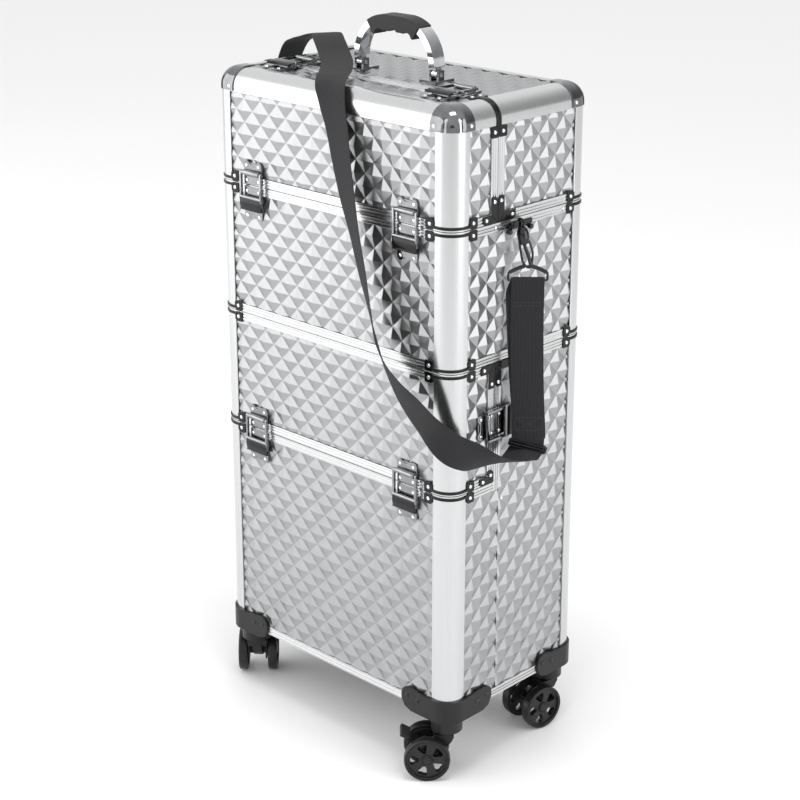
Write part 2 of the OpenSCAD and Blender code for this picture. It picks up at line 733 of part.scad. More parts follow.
module handle_feet() color(chrome) placed() for (s = BOTH) translate([s * handle_span / 2, 0, z_top - wall]) {
    translate([-13, -16, 0]) cube([26, 32, wall + 1.5]);
    for (t = BOTH) difference() {
        translate([t * (bow_t / 2 + gap + 1.5) - 1.5, -5, 0]) cube([3, 10, 14]);
        translate([-20, 0, handle_axis_z - z_top + wall]) rotate([0, 90, 0])
            cylinder(h = 40, r = handle_pin_r + fit);
    }
}

module carry_handle_bow() color(chrome) placed() translate([0, 0, handle_axis_z]) for (s = BOTH)
    mirror([s < 0 ? 1 : 0, 0, 0]) {
        translate([handle_span / 2 - 7, 0, 0]) rotate([0, 90, 0]) cylinder(h = 14, r = handle_pin_r);
        translate([handle_span / 2 - bow_t / 2, 0, 0]) rotate([0, 90, 0]) cylinder(h = bow_t, r = 5);
        translate([handle_span / 2 - bow_t / 2, -4, 0]) cube([bow_t, 8, 9]);
        translate([bow_centre_x, 0, bow_up]) rotate([90, 0, 0]) rotate_extrude(angle = bow_turn)
            translate([bow_r - bow_t / 2, -bow_w / 2]) square([bow_t, bow_w]);
    }

// The grip: how far it goes in and out from the middle of the bow, and half its depth
hold_in = 14;
hold_out = 5;
hold_half = 11;
// The angle on the bow where the grip starts
hold_start = 56;
// The radius of a finger hollow, and the turn from one hollow to the next
finger_r = 7.5;
finger_turn = 19;

// An arch round the two centres of the bow, filled down to its base line
module filled_arch(r) {
    for (s = BOTH) translate([s * bow_centre_x, 0]) circle(r);
    translate([-bow_centre_x, -r]) square([2 * bow_centre_x, 2 * r]);
}

// The outline of the grip from the front: a piece of an arch with finger hollows below
module hold_outline() difference() {
    wide = bow_centre_x + 2 * bow_r * cos(hold_start);
    high = 2 * bow_r * sin(hold_start);
    intersection() {
        filled_arch(bow_r + hold_out);
        polygon([[-bow_centre_x, 0], [-wide, high], [wide, high], [bow_centre_x, 0]]);
    }
    filled_arch(bow_r - hold_in);
    translate([0, bow_r - hold_in - finger_r * 0.6]) circle(finger_r);
    for (s = BOTH) translate([s * bow_centre_x, 0]) rotate(-s * finger_turn)
        translate([0, bow_r - hold_in - finger_r * 0.6]) circle(finger_r);
}

// The rubber grip, hollow where the arms of the bow run into it
module carry_handle_grip() color(black) placed() translate([0, 0, handle_axis_z + bow_up]) difference() {
    rotate([90, 0, 0]) linear_extrude(2 * hold_half, center = true) hold_outline();
    both_sides() translate([bow_centre_x, 0, 0]) rotate([90, 0, 0])
        rotate_extrude(angle = bow_turn + 2) translate([bow_r - bow_t / 2 - gap, -bow_w / 2 - gap])
            square([bow_t + 2 * gap, bow_w + 2 * gap]);
}

// Casters: the swivel axis is the local Z axis and the wheels trail along +X

module at_caster(k) placed() translate([(k % 2 == 0 ? -1 : 1) * (hw - caster_inset),
    (k < 2 ? -1 : 1) * (hd - caster_inset), 0]) rotate([0, 0, caster_turn[k]]) children();

hood_r = wheel_r - 4;
hub_half = twin_gap / 2 - wheel_w / 2 - 0.6;
pedal_x = trail + 10;
pedal_z = wheel_r + 14;
pedal_pin_r = 1.6;

module fork(k, pedal) color(black) at_caster(k) difference() {
    union() {
        translate([0, 0, neck_z - gap - 4]) cylinder(h = 4, r = hub_half);
        translate([0, 0, neck_z - gap - 4]) cylinder(h = stem_len + 4, r = stem_r);
        intersection() {
            translate([trail, hub_half, wheel_r]) rotate([90, 0, 0]) cylinder(h = 2 * hub_half, r = hood_r);
            translate([trail - 50, -50, wheel_r - 5]) cube([100, 100, 60]);
        }
        translate([trail, hub_half, wheel_r]) rotate([90, 0, 0]) cylinder(h = 2 * hub_half, r = 10);
        translate([-8, -hub_half, wheel_r + 6]) cube([20, 2 * hub_half, neck_z - gap - wheel_r - 7]);
    }
    translate([trail, 50, wheel_r]) rotate([90, 0, 0]) cylinder(h = 100, r = axle_r + fit);
    if (pedal) {
        translate([pedal_x - 8, -6, pedal_z - 8]) cube([50, 12, 40]);
        translate([pedal_x, 50, pedal_z]) rotate([90, 0, 0]) cylinder(h = 100, r = pedal_pin_r + fit);
    }
}

module caster_fork_front_left() fork(0, true);
module caster_fork_front_right() fork(1, true);
module caster_fork_rear_left() fork(2, false);
module caster_fork_rear_right() fork(3, false);

spokes = 5;

module wheels(k) color(black) at_caster(k) translate([trail, 0, wheel_r]) rotate([90, 0, 0]) {
    cylinder(h = twin_gap + wheel_w - 4, r = axle_r, center = true);
    for (s = BOTH) translate([0, 0, s * twin_gap / 2]) difference() {
        cylinder(h = wheel_w, r = wheel_r, center = true);
        for (a = [0 : spokes - 1]) rotate([0, 0, a * 360 / spokes]) translate([wheel_r * 0.55, 0, 0])
            cylinder(h = wheel_w + 2, r = 4.6, center = true);
        translate([0, 0, s * wheel_w / 2]) difference() {
            cylinder(h = 3, r = wheel_r - 4.5, center = true);
            cylinder(h = 4, r = 7, center = true);
        }
    }
}

module wheels_front_left() wheels(0);
module wheels_front_right() wheels(1);
module wheels_rear_left() wheels(2);
module wheels_rear_right() wheels(3);

module pedal(k) color(black) at_caster(k) translate([pedal_x, 0, pedal_z]) {
    rotate([90, 0, 0]) cylinder(h = 2 * hub_half - 1, r = pedal_pin_r, center = true);
    rotate([90, 0, 0]) cylinder(h = 10, r = 4, center = true);
    rotate([0, -28, 0]) translate([1, -6 + gap, -1.5]) cube([23, 12 - 2 * gap, 5]);
    rotate([0, -28, 0]) translate([14, -hub_half + 1, 0.5]) cube([12, 2 * hub_half - 2, 4.5]);
}

module brake_pedal_left() pedal(0);
module brake_pedal_right() pedal(1);

// The shoulder strap: a ribbon swept along points chosen by hand

// Each row: the middle of the ribbon from the middle of the case, then the way of its width
strap_route = [
    [215, -14, 612, 0.72, 0.69, 0], [215, -14, 565, 0.72, 0.69, 0], [218, -14, 500, 0.72, 0.69, 0],
    [222, -14, 450, 0.72, 0.69, 0], [222, -14, 410, 0.72, 0.69, 0], [222, -14, 407, 0.76, 0.65, 0],
    [222, -21, 401, 0.9, 0.4, -0.1], [222, -43, 405, 1, 0.05, 0], [222, -66, 411, 0.91, 0, 0.41],
    [221, -88, 418, 0.72, 0, 0.69], [217, -110, 429, 0.25, 0, 0.97],
    [208, -132, 443, 0.1, 0, 1], [190, -145, 464, 0.3, -0.1, 0.95], [166, -147, 482, 0.5, -0.2, 0.8],
    [142, -147, 499, 0.7, -0.4, 0.5], [120, -146, 521, 0.7, -0.6, 0.3], [104, -145, 549, 0.7, -0.7, 0.1],
    [92, -143, 582, 0.75, -0.6, 0], [78, -141, 624, 0.85, -0.5, 0], [64, -139, 667, 0.9, -0.45, 0],
    [50, -136, 707, 0.95, -0.3, 0], [38, -133, 746, 0.97, -0.2, 0], [28, -129, 778, 1, -0.1, 0],
    [17, -125, 804, 1, 0, 0], [6, -117, 823, 0.98, 0.15, 0], [-6, -103, 831, 0.93, 0.33, 0],
    [-20, -84, 834, 0.84, 0.52, 0], [-40, -62, 838, 0.72, 0.68, 0], [-66, -42, 845, 0.6, 0.8, 0],
    [-90, -26, 854, 0.55, 0.83, 0], [-110, -12, 858, 0.52, 0.85, 0], [-132, 0, 854, 0.48, 0.87, 0],
    [-156, 12, 848, 0.4, 0.9, 0], [-180, 20, 842, 0.3, 0.95, 0], [-200, 24, 834, 0.2, 0.97, 0],
    [-212, 24, 817, 0.1, 1, 0], [-217, 18, 790, 0, 1, 0], [-216, 3, 764, 0, 1, 0],
    [-215, -14, 738, 0, 1, 0], [-215, -14, 716, 0, 1, 0]];
// The case that the rows were chosen on: half its width and depth, and its lid seam and top
route_hw = 195;
route_hd = 118;
route_lid = 685;
route_top = 822;

// A distance across the case: it grows with the case inside, and keeps its stand-off outside
function across(v, real, half) = abs(v) > real ? sign(v) * (half + abs(v) - real) : v * half / real;
// A height: it follows the lid seam below, and the lid tier above
function upwards(z) = z < route_lid ? z_lid + z - route_lid
    : z < route_top ? z_lid + (z - route_lid) * lid_h / (route_top - route_lid) : z_top + z - route_top;
function strap_place(r) = [across(r[0], route_hw, hw), across(r[1], route_hd, hd), upwards(r[2])];

function unit(v) = v / norm(v);
function place_of(k) = strap_place(strap_route[k]);
function width_of(k) = unit([for (i = [3 : 5]) strap_route[k][i]]);
strap_last = len(strap_route) - 1;
function along(k) = unit(place_of(min(k + 1, strap_last)) - place_of(max(k - 1, 0)));
function face_of(k) = unit(cross(along(k), width_of(k)));
function flat_width(k) = unit(cross(face_of(k), along(k)));
strap_points = [for (k = [0 : strap_last], c = [[-1, -1], [1, -1], [1, 1], [-1, 1]])
    place_of(k) + flat_width(k) * c[0] * strap_w / 2 + face_of(k) * c[1] * strap_t / 2];
strap_faces = concat(
    [[0, 1, 2], [0, 2, 3]],
    [for (k = [0 : strap_last - 1], i = [0 : 3]) [4 * k + i, 4 * k + 4 + i, 4 * k + (i + 1) % 4]],
    [for (k = [0 : strap_last - 1], i = [0 : 3])
        [4 * k + (i + 1) % 4, 4 * k + 4 + i, 4 * k + 4 + (i + 1) % 4]],
    [[4 * strap_last, 4 * strap_last + 2, 4 * strap_last + 1],
        [4 * strap_last, 4 * strap_last + 3, 4 * strap_last + 2]]);

module strap_webbing() color([0.25, 0.25, 0.26]) placed()
    polyhedron(strap_points, strap_faces, convexity = 10);

// A snap hook on an eye, and the D ring under it; the origin is the middle of the eye's bar
module hook_and_ring(turn, drop) {
    translate([0, 0, eye_bar_r - hook_hole_r]) rotate([90, 0, 0]) difference() {
        cylinder(h = 6, r = hook_hole_r + 3, center = true);
        cylinder(h = 8, r = hook_hole_r, center = true);
    }
    translate([0, 0, -drop + ring_h + 9]) cylinder(h = drop - ring_h - 9 - 2 * hook_hole_r - 1, r = 3);
    rotate([0, 0, turn]) difference() {
        translate([-3.5, -5, -drop + ring_h - 6]) cube([7, 10, 15]);
        translate([-5, -2, -drop + ring_h - 4 - gap]) cube([10, 4, 4 + 2 * gap]);
    }
    rotate([0, 0, turn]) translate([0, 1.5, -drop]) rotate([90, 0, 0]) linear_extrude(3) difference() {
        ring_shape(strap_w / 2 + 5, ring_h);
        translate([0, 3]) ring_shape(strap_w / 2 + 1.5, ring_h - 6);
    }
}

// The outline of a D ring: a trapezium on a flat bar
module ring_shape(half, height)
    polygon([[-half, 0], [half, 0], [half, height * 0.4], [4, height], [-4, height], [-half, height * 0.4]]);

eye_bar_r = 1.7;
hook_hole_r = 4.5;
ring_h = 18;
ring_turn = 44;

slider_drop = 267;
slider_out = 27;
slider_h = 14;

module strap_hardware() color(chrome) placed() {
    translate([eye_x, eye_y, eye_z]) hook_and_ring(ring_turn, eye_z - place_of(0)[2] - gap);
    mirror([1, 0, 0]) translate([eye_x, eye_y, eye_z]) mirror([0, 0, 1])
        hook_and_ring(90, place_of(strap_last)[2] - eye_z - gap);
    translate([hw + slider_out, eye_y, z_lid - slider_drop]) rotate([0, 0, ring_turn]) difference() {
        cube([strap_w + 8, 6, slider_h], center = true);
        cube([strap_w + 3, 4, slider_h + 2], center = true);
    }
}

lower_panels();
lower_boards();
lower_frame();
lower_connectors();
lower_rivets();
guard_front_left();
guard_front_right();
guard_rear_left();
guard_rear_right();
lower_catch_plates();
handle_sleeves();
lower_cover_panels();
lower_cover_frame();
lower_cover_connectors();
lower_latch_plates();
lower_latch_left();
lower_latch_right();
side_latch_left();
side_latch_right();
upper_panels();
upper_floor();
upper_frame();
upper_connectors();
upper_rivets();
upper_catch_plates();
strap_eyes();
lid_hinge_case();
strap_webbing();
strap_hardware();
upper_cover_panels();
upper_cover_frame();
upper_cover_connectors();
cover_ball_caps();
upper_latch_plates();
upper_latch_left();
upper_latch_right();
lid_panels();
lid_frame();
lid_connectors();
lid_ball_caps();
lid_hinge_lid();
lid_clasp_plates();
top_clasp_left();
top_clasp_right();
handle_feet();
carry_handle_bow();
carry_handle_grip();
pull_handle_mid();
pull_handle_grip();
pull_handle_button();
caster_fork_front_left();
caster_fork_front_right();
caster_fork_rear_left();
caster_fork_rear_right();
wheels_front_left();
wheels_front_right();
wheels_rear_left();
wheels_rear_right();
brake_pedal_left();
brake_pedal_right();
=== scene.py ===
"""Rolling hairdressing case: the looks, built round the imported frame. Metres, Z up, front towards -Y."""

import json
import math

import bmesh
import bpy
from mathutils import Matrix, Vector


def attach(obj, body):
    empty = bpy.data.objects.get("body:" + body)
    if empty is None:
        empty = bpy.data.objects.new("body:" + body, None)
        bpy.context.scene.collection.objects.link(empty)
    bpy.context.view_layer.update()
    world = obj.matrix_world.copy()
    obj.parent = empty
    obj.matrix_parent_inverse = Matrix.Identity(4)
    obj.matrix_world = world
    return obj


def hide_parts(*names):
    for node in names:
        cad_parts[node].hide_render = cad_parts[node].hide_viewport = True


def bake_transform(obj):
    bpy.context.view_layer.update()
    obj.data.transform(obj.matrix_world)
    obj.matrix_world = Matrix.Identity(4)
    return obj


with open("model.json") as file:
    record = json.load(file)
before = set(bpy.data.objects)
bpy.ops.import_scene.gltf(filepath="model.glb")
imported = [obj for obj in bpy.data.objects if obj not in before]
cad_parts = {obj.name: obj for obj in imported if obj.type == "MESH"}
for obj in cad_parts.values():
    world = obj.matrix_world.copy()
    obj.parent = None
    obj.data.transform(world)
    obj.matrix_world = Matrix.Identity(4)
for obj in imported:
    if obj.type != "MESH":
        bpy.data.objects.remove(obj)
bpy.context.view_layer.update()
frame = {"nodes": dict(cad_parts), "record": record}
nodes = frame["nodes"]

# Sizes of the case, as the frame has them
PLACE = Vector((-0.0025, 0.006, 0))
HALF_W, HALF_D = 0.195, 0.118
Z_BASE, Z_COVER, Z_SPLIT, Z_LID, Z_TOP = 0.088, 0.372, 0.52, 0.685, 0.822
SEAM_Y = -HALF_D + 0.074
POST_R, POST_LEG, WALL, RIM_H, BASE_H = 0.022, 0.027, 0.002, 0.0105, 0.011
HALF_GAP = 0.0003
LATCH_X, CLASP_X = 0.128, 0.13
SIDE_LATCH_Z = Z_COVER + 0.074
CASTER_TURN = {"front_left": 134, "front_right": 224, "rear_left": 200, "rear_right": 260}


# Camera, light and floor


def place_in_scene(name, data):
    obj = bpy.data.objects.new(name, data)
    bpy.context.scene.collection.objects.link(obj)
    return obj


def make_camera():
    data = bpy.data.cameras.new("camera")
    cam = place_in_scene("camera", data)
    cam.location = Vector((1.5023, -1.5589, 1.2201)) + PLACE
    cam.rotation_euler = (math.radians(90 - 18.0), 0, math.radians(43.9))
    data.sensor_width = 36
    data.lens = 1853.5 / 800 * 36
    data.shift_y = -0.1
    data.clip_end = 50
    bpy.context.scene.camera = cam


def area_light(name, place, aim, size, power):
    data = bpy.data.lights.new(name, "AREA")
    data.shape = "RECTANGLE"
    data.size, data.size_y = size
    data.energy = power
    lamp = place_in_scene(name, data)
    lamp.location = place
    lamp.rotation_euler = (Vector(aim) - Vector(place)).to_track_quat("-Z", "Y").to_euler()


def fill(tree, node, inputs):
    """Gives each input a value, or a link where a socket is given."""
    for key, value in inputs.items():
        if isinstance(value, bpy.types.NodeSocket):
            tree.links.new(value, node.inputs[key])
        else:
            node.inputs[key].default_value = value


def add_node(tree, kind, inputs=None, **settings):
    node = tree.nodes.new(kind)
    for key, value in settings.items():
        setattr(node, key, value)
    fill(tree, node, inputs or {})
    return node


def set_shader(mat, inputs):
    fill(mat.node_tree, mat.node_tree.nodes["Principled BSDF"], inputs)


def new_material(name, inputs):
    mat = bpy.data.materials.new(name)
    mat.use_nodes = True
    set_shader(mat, inputs)
    return mat


def maths(tree, kind, a, b):
    return add_node(tree, "ShaderNodeMath", {0: a, 1: b}, operation=kind).outputs[0]


def ranged(tree, value, low, high, to_low, to_high, kind="SMOOTHSTEP"):
    limits = {"From Min": low, "From Max": high, "To Min": to_low, "To Max": to_high}
    node = add_node(tree, "ShaderNodeMapRange", {"Value": value, **limits}, interpolation_type=kind)
    return node.outputs["Result"]


def make_studio():
    """A white floor, three soft panels and a pale room that is dimmer behind the camera and at the back right."""
    bpy.ops.mesh.primitive_plane_add(size=30, location=(0, 0, 0))
    floor = bpy.context.object
    floor.name = "studio_floor"
    paint = {"Base Color": (0.9, 0.9, 0.9, 1), "Roughness": 0.95, "Specular IOR Level": 0.1}
    floor.data.materials.append(new_material("floor", paint))
    bpy.context.scene.view_settings.view_transform = "Standard"
    world = bpy.data.worlds.new("studio")
    bpy.context.scene.world = world
    world.use_nodes = True
    tree = world.node_tree
    place = add_node(tree, "ShaderNodeTexCoord").outputs["Generated"]
    height = add_node(tree, "ShaderNodeSeparateXYZ", {0: place}).outputs["Z"]

    def towards(azimuth):
        way = (math.cos(math.radians(azimuth)), math.sin(math.radians(azimuth)), 0)
        return add_node(tree, "ShaderNodeVectorMath", {0: place, 1: way}, operation="DOT_PRODUCT").outputs["Value"]

    level = ranged(tree, height, 0.05, 0.6, 0.9, 1.02)
    level = maths(tree, "MULTIPLY", level, ranged(tree, towards(314), 0.965, 0.992, 1, 0.2))
    dim = ranged(tree, towards(72), 0.6, 0.92, 1, 0.3)
    above = maths(tree, "MAXIMUM", dim, ranged(tree, height, 0.06, 0.2, 1, 0))
    fill(tree, tree.nodes["Background"], {"Color": (1, 1, 1, 1), "Strength": maths(tree, "MULTIPLY", level, above)})
    area_light("left_panel", (-2.15, -2.15, 1.35), (0, 0, 0.6), (3.6, 2.6), 60)
    area_light("top_panel", (0.45, -0.3, 2.3), (0.1, -0.1, 0.8), (0.7, 0.5), 11)
    area_light("right_panel", (2.95, 0.6, 1.3), (0, 0, 0.6), (2.2, 2.4), 35)


# Materials


def finish(name, colour, metallic, roughness, grain, shade, spread, bump=0.0, sheen=0.0, specular=0.5):
    """A node material: two shades and a range of roughness mixed by noise in object space."""
    mat = new_material(name, {"Metallic": metallic, "Sheen Weight": sheen, "Specular IOR Level": specular})
    tree = mat.node_tree
    place = add_node(tree, "ShaderNodeTexCoord").outputs["Object"]
    scale = grain if isinstance(grain, tuple) else (grain, grain, grain)
    turn = add_node(tree, "ShaderNodeMapping", {"Vector": place, "Scale": scale})
    noise = add_node(tree, "ShaderNodeTexNoise", {"Vector": turn.outputs["Vector"], "Scale": 1.0, "Detail": 4.0})
    grey = noise.outputs["Fac"]
    tones = add_node(tree, "ShaderNodeValToRGB", {0: grey})
    for stop, position, change in zip(tones.color_ramp.elements, (0.32, 0.68), (1 - shade, 1 + shade)):
        stop.position, stop.color = position, (*(min(1.0, c * change) for c in colour), 1)
    gloss = ranged(tree, grey, 0.3, 0.7, max(0.02, roughness - spread), roughness + spread, "LINEAR")
    set_shader(mat, {"Base Color": tones.outputs[0], "Roughness": gloss})
    if bump:
        add_relief(mat, grey, bump, 0.0004)
    return mat


def add_relief(mat, height, strength, distance):
    values = {"Height": height, "Strength": strength, "Distance": distance}
    relief = add_node(mat.node_tree, "ShaderNodeBump", values)
    set_shader(mat, {"Normal": relief.outputs["Normal"]})


def make_webbing_finish():
    """Dark webbing: fine lines along the strap and a twill between them, from its own UV map in metres."""
    mat = finish("strap webbing", (0.02, 0.02, 0.022), 0.0, 0.75, 900, 0.3, 0.06, sheen=0.06, specular=0.25)
    tree = mat.node_tree
    uv = add_node(tree, "ShaderNodeUVMap", uv_map="weave").outputs[0]
    lines, twill = (add_node(tree, "ShaderNodeTexWave", {"Vector": uv, "Scale": scale}, bands_direction=way)
                    for way, scale in (("X", 200), ("DIAGONAL", 420)))
    mixed = {0: twill.outputs["Fac"], 1: 0.25, 2: lines.outputs["Fac"]}
    both = add_node(tree, "ShaderNodeMath", mixed, operation="MULTIPLY_ADD")
    add_relief(mat, both.outputs[0], 0.9, 0.0005)
    return mat


BOARD = finish("embossed aluminium", (0.38, 0.384, 0.39), 1.0, 0.34, 35, 0.05, 0.05, 0.04)
PROFILE = finish("extruded aluminium", (0.62, 0.625, 0.63), 1.0, 0.24, (700, 700, 14), 0.03, 0.02, 0.004)
LINING = finish("lining board", (0.03, 0.03, 0.032), 0.0, 0.8, 400, 0.3, 0.1, 0.3)
BLACK_METAL = finish("black lacquered steel", (0.006, 0.006, 0.007), 0.0, 0.2, 120, 0.3, 0.06, 0.04, specular=0.3)
CHROME = finish("polished chrome", (0.6, 0.61, 0.63), 1.0, 0.08, 90, 0.08, 0.04)
# Chrome made darker than the polished chrome above, to stand in for a dark room that it reflects: its dark tone is
# painted reflection, on the ball caps and the handle feet
CHROME_PAINTED_DARK = finish("chrome with painted dark reflection", (0.2, 0.203, 0.21), 1.0, 0.08, 90, 0.14, 0.04)
# The latch plates and frames are polished chrome; this darker tone is painted reflection, an average of the dark and
# bright surroundings they reflect
LATCH_CHROME_PAINTED_DARK = finish("latch chrome with painted dark reflection", (0.27, 0.273, 0.28), 1.0, 0.1, 90, 0.12, 0.06)
BLACK_NICKEL = finish("black nickel", (0.05, 0.05, 0.054), 1.0, 0.14, 90, 0.14, 0.05)
RIVET = finish("rivet steel", (0.8, 0.81, 0.83), 1.0, 0.14, 300, 0.1, 0.06)
TUBE = finish("drawn steel tube", (0.6, 0.61, 0.63), 1.0, 0.15, (500, 500, 8), 0.08, 0.06)
PLASTIC = finish("moulded black plastic", (0.009, 0.009, 0.01), 0.0, 0.4, 900, 0.25, 0.08, 0.25, specular=0.35)
RUBBER = finish("grip rubber", (0.008, 0.008, 0.008), 0.0, 0.5, 1400, 0.3, 0.08, 0.3, specular=0.35)
WHEEL = finish("wheel nylon", (0.012, 0.012, 0.013), 0.0, 0.36, 500, 0.3, 0.08, 0.15, specular=0.35)
THREAD = finish("stitching thread", (0.035, 0.035, 0.038), 0.0, 0.6, 3000, 0.2, 0.08, 0.2)
WEBBING = make_webbing_finish()


# Mesh helpers


def turned(degrees, axis):
    return Matrix.Rotation(math.radians(degrees), 4, axis)


def moved(x, y, z):
    return Matrix.Translation((x, y, z))


FLAT, ACROSS = turned(90, "X"), turned(90, "Y")


def smooth(obj, degrees=32):
    for face in obj.data.polygons:
        face.use_smooth = True
    obj.data.set_sharp_from_angle(angle=math.radians(degrees))


def to_object(name, bm, mat, degrees=32):
    mesh = bpy.data.meshes.new(name)
    bm.normal_update()
    bm.to_mesh(mesh)
    bm.free()
    obj = place_in_scene(name, mesh)
    for m in mat if isinstance(mat, list) else [mat]:
        mesh.materials.append(m)
    smooth(obj, degrees)
    return obj


def mount(obj, body, stands_for=None):
    """Fixes a piece to its body and hides the node of the frame that it stands for."""
    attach(obj, body)
    if stands_for:
        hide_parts(stands_for)
    return obj


def bevelled(obj, width, segments=2, degrees=40):
    mod = obj.modifiers.new("edge", "BEVEL")
    mod.width = width
    mod.segments = segments
    mod.limit_method = "ANGLE"
    mod.angle_limit = math.radians(degrees)
    mod.use_clamp_overlap = True
    return obj


def evaluated_mesh(obj):
    """The plain mesh of an object with its modifiers applied."""
    view = bpy.context.evaluated_depsgraph_get()
    return bpy.data.meshes.new_from_object(obj.evaluated_get(view))


def merged(node):
    """A copy of a CAD node's mesh with its shared points joined."""
    bm = bmesh.new()
    bm.from_mesh(nodes[node].data)
    bmesh.ops.remove_doubles(bm, verts=bm.verts, dist=2e-6)
    return bm


def refined(node, body, mat, width, segments=2):
    """A merged copy of a CAD node with soft edges, which stands for it."""
    bm = merged(node)
    bmesh.ops.dissolve_limit(bm, angle_limit=math.radians(0.5), verts=bm.verts, edges=bm.edges)
    obj = to_object(node + "_fine", bm, mat, 30)
    if width:
        bevelled(obj, width, segments, 30)
    return mount(obj, body, node)


def add_mesh(bm, verts, faces, where=Matrix.Identity(4), material=0):
    made = [bm.verts.new(where @ Vector(v)) for v in verts]
    for f in faces:
        face = bm.faces.new([made[i] for i in f])
        face.material_index = material
    return made


def add_loft(bm, low, high, where=Matrix.Identity(4)):
    """A closed form between two outlines of as many points."""
    n = len(low)
    faces = [tuple(reversed(range(n))), tuple(range(n, 2 * n))]
    faces += [(i, (i + 1) % n, n + (i + 1) % n, n + i) for i in range(n)]
    add_mesh(bm, low + high, faces, where)


def add_prism(bm, outline, low, high, where=Matrix.Identity(4)):
    """A closed prism: a counterclockwise outline in XY between two heights."""
    add_loft(bm, [(x, y, low) for x, y in outline], [(x, y, high) for x, y in outline], where)


def circle(steps):
    return [2 * math.pi * k / steps for k in range(steps)]


def add_shell(bm, outer, inner, cols, where, material=0):
    """A closed shell between two grids of points with cols faces in each row."""
    w, n = cols + 1, len(outer)
    rows = n // w - 1
    faces = []
    for a in (i * w + j for i in range(rows) for j in range(cols)):
        faces += [(a, a + w, a + w + 1, a + 1), (n + a, n + a + 1, n + a + w + 1, n + a + w)]
    rim = list(range(cols)) + [i * w + cols for i in range(rows)]
    rim += [rows * w + j for j in range(cols, 0, -1)] + [i * w for i in range(rows, 0, -1)]
    faces += [(a, b, n + b, n + a) for a, b in zip(rim, rim[1:] + rim[:1])]
    add_mesh(bm, outer + inner, faces, where, material)


def add_box(bm, low, high, where):
    (a, b, c), (d, e, f) = low, high
    add_prism(bm, [(a, b), (d, b), (d, e), (a, e)], c, f, where)


def rod(r, half, cut, run):
    """The profile of a turned rod from -half to half, its ends narrowed by cut over the length run."""
    return [(0, -half), (r - cut, -half), (r, -half + run), (r, half - run), (r - cut, half), (0, half)]


def add_lathe(bm, profile, where=Matrix.Identity(4), steps=32, material=0):
    """A turned form about local Z from (radius, height) points, closed where the radius is zero."""
    rings = []
    for r, z in profile:
        if r < 1e-7:
            rings.append([bm.verts.new(where @ Vector((0, 0, z)))])
        else:
            rings.append([bm.verts.new(where @ Vector((r * math.cos(a), r * math.sin(a), z))) for a in circle(steps)])
    for low, high in zip(rings, rings[1:]):
        for k in range(steps):
            quad = [low[k % len(low)], low[(k + 1) % len(low)], high[(k + 1) % len(high)], high[k % len(high)]]
            face = bm.faces.new(list(dict.fromkeys(quad)))
            face.material_index = material


def join_rings(bm, rings, closed=False):
    """Quads from each ring to the next, with a cap at either end unless the rings close."""
    steps = len(rings[0])
    for a, b in zip(rings, rings[1:] + (rings[:1] if closed else [])):
        for j in range(steps):
            bm.faces.new([a[j], a[(j + 1) % steps], b[(j + 1) % steps], b[j]])
    if not closed:
        bm.faces.new(list(reversed(rings[0])))
        bm.faces.new(rings[-1])


def add_tube(bm, path, radius, steps=12, closed=False, where=Matrix.Identity(4)):
    """A round wire along a path."""
    points = [where @ Vector(p) for p in path]
    n = len(points)
    rings, up = [], None
    for k, p in enumerate(points):
        ahead = points[(k + 1) % n] if closed else points[min(k + 1, n - 1)]
        behind = points[k - 1] if closed else points[max(k - 1, 0)]
        way = (ahead - behind).normalized()
        if up is None:
            up = way.orthogonal().normalized()
        up = (up - way * up.dot(way)).normalized()
        side = way.cross(up)
        rings.append([bm.verts.new(p + radius * (math.cos(a) * up + math.sin(a) * side)) for a in circle(steps)])
    join_rings(bm, rings, closed)


def recalc(obj):
    bm = bmesh.new()
    bm.from_mesh(obj.data)
    bmesh.ops.recalc_face_normals(bm, faces=bm.faces)
    bm.to_mesh(obj.data)
    bm.free()
    smooth(obj)
    return obj


def piece(name, bm, mat, body, stands_for=None, width=0.0):
    """A piece with its faces turned outwards and its edges bevelled to a width, mounted on its body."""
    obj = recalc(to_object(name, bm, mat))
    if width:
        bevelled(obj, width)
    mount(obj, body, stands_for)


def arc(cx, cy, r, a0, a1, steps):
    return [(cx + r * math.cos(math.radians(a0 + (a1 - a0) * k / steps)),
             cy + r * math.sin(math.radians(a0 + (a1 - a0) * k / steps))) for k in range(steps + 1)]


def rounded_box(w, h, r, steps=4, cx=0.0, cy=0.0):
    """A counterclockwise rounded rectangle."""
    x, y = w / 2 - r, h / 2 - r
    return (arc(cx + x, cy - y, r, -90, 0, steps) + arc(cx + x, cy + y, r, 0, 90, steps)
            + arc(cx - x, cy + y, r, 90, 180, steps) + arc(cx - x, cy - y, r, 180, 270, steps))


def frame_at(origin, x_axis, y_axis):
    """The matrix of a place whose local X, Y and Z are given by two axes and their cross."""
    x, y = Vector(x_axis), Vector(y_axis)
    turn = Matrix((x, y, x.cross(y))).transposed().to_4x4()
    return Matrix.Translation(Vector(origin) + PLACE) @ turn


# The embossed boards, made with Geometry Nodes


def new_tree(name, kinds):
    """An empty tree with a geometry input and output and the named inputs, each with its kind of socket."""
    tree = bpy.data.node_groups.new(name, "GeometryNodeTree")
    for key, kind in {"Geometry": "Geometry", **kinds}.items():
        tree.interface.new_socket(key, in_out="INPUT", socket_type="NodeSocket" + kind)
    tree.interface.new_socket("Geometry", in_out="OUTPUT", socket_type="NodeSocketGeometry")
    return tree, tree.nodes.new("NodeGroupInput").outputs


def finish_tree(tree, given, instances):
    """Makes the instances real, gives them the tree's material and hands them out."""
    real = add_node(tree, "GeometryNodeRealizeInstances", {0: instances})
    paint = add_node(tree, "GeometryNodeSetMaterial", {0: real.outputs[0], "Material": given["Material"]})
    add_node(tree, "NodeGroupOutput", {0: paint.outputs[0]})
    return tree


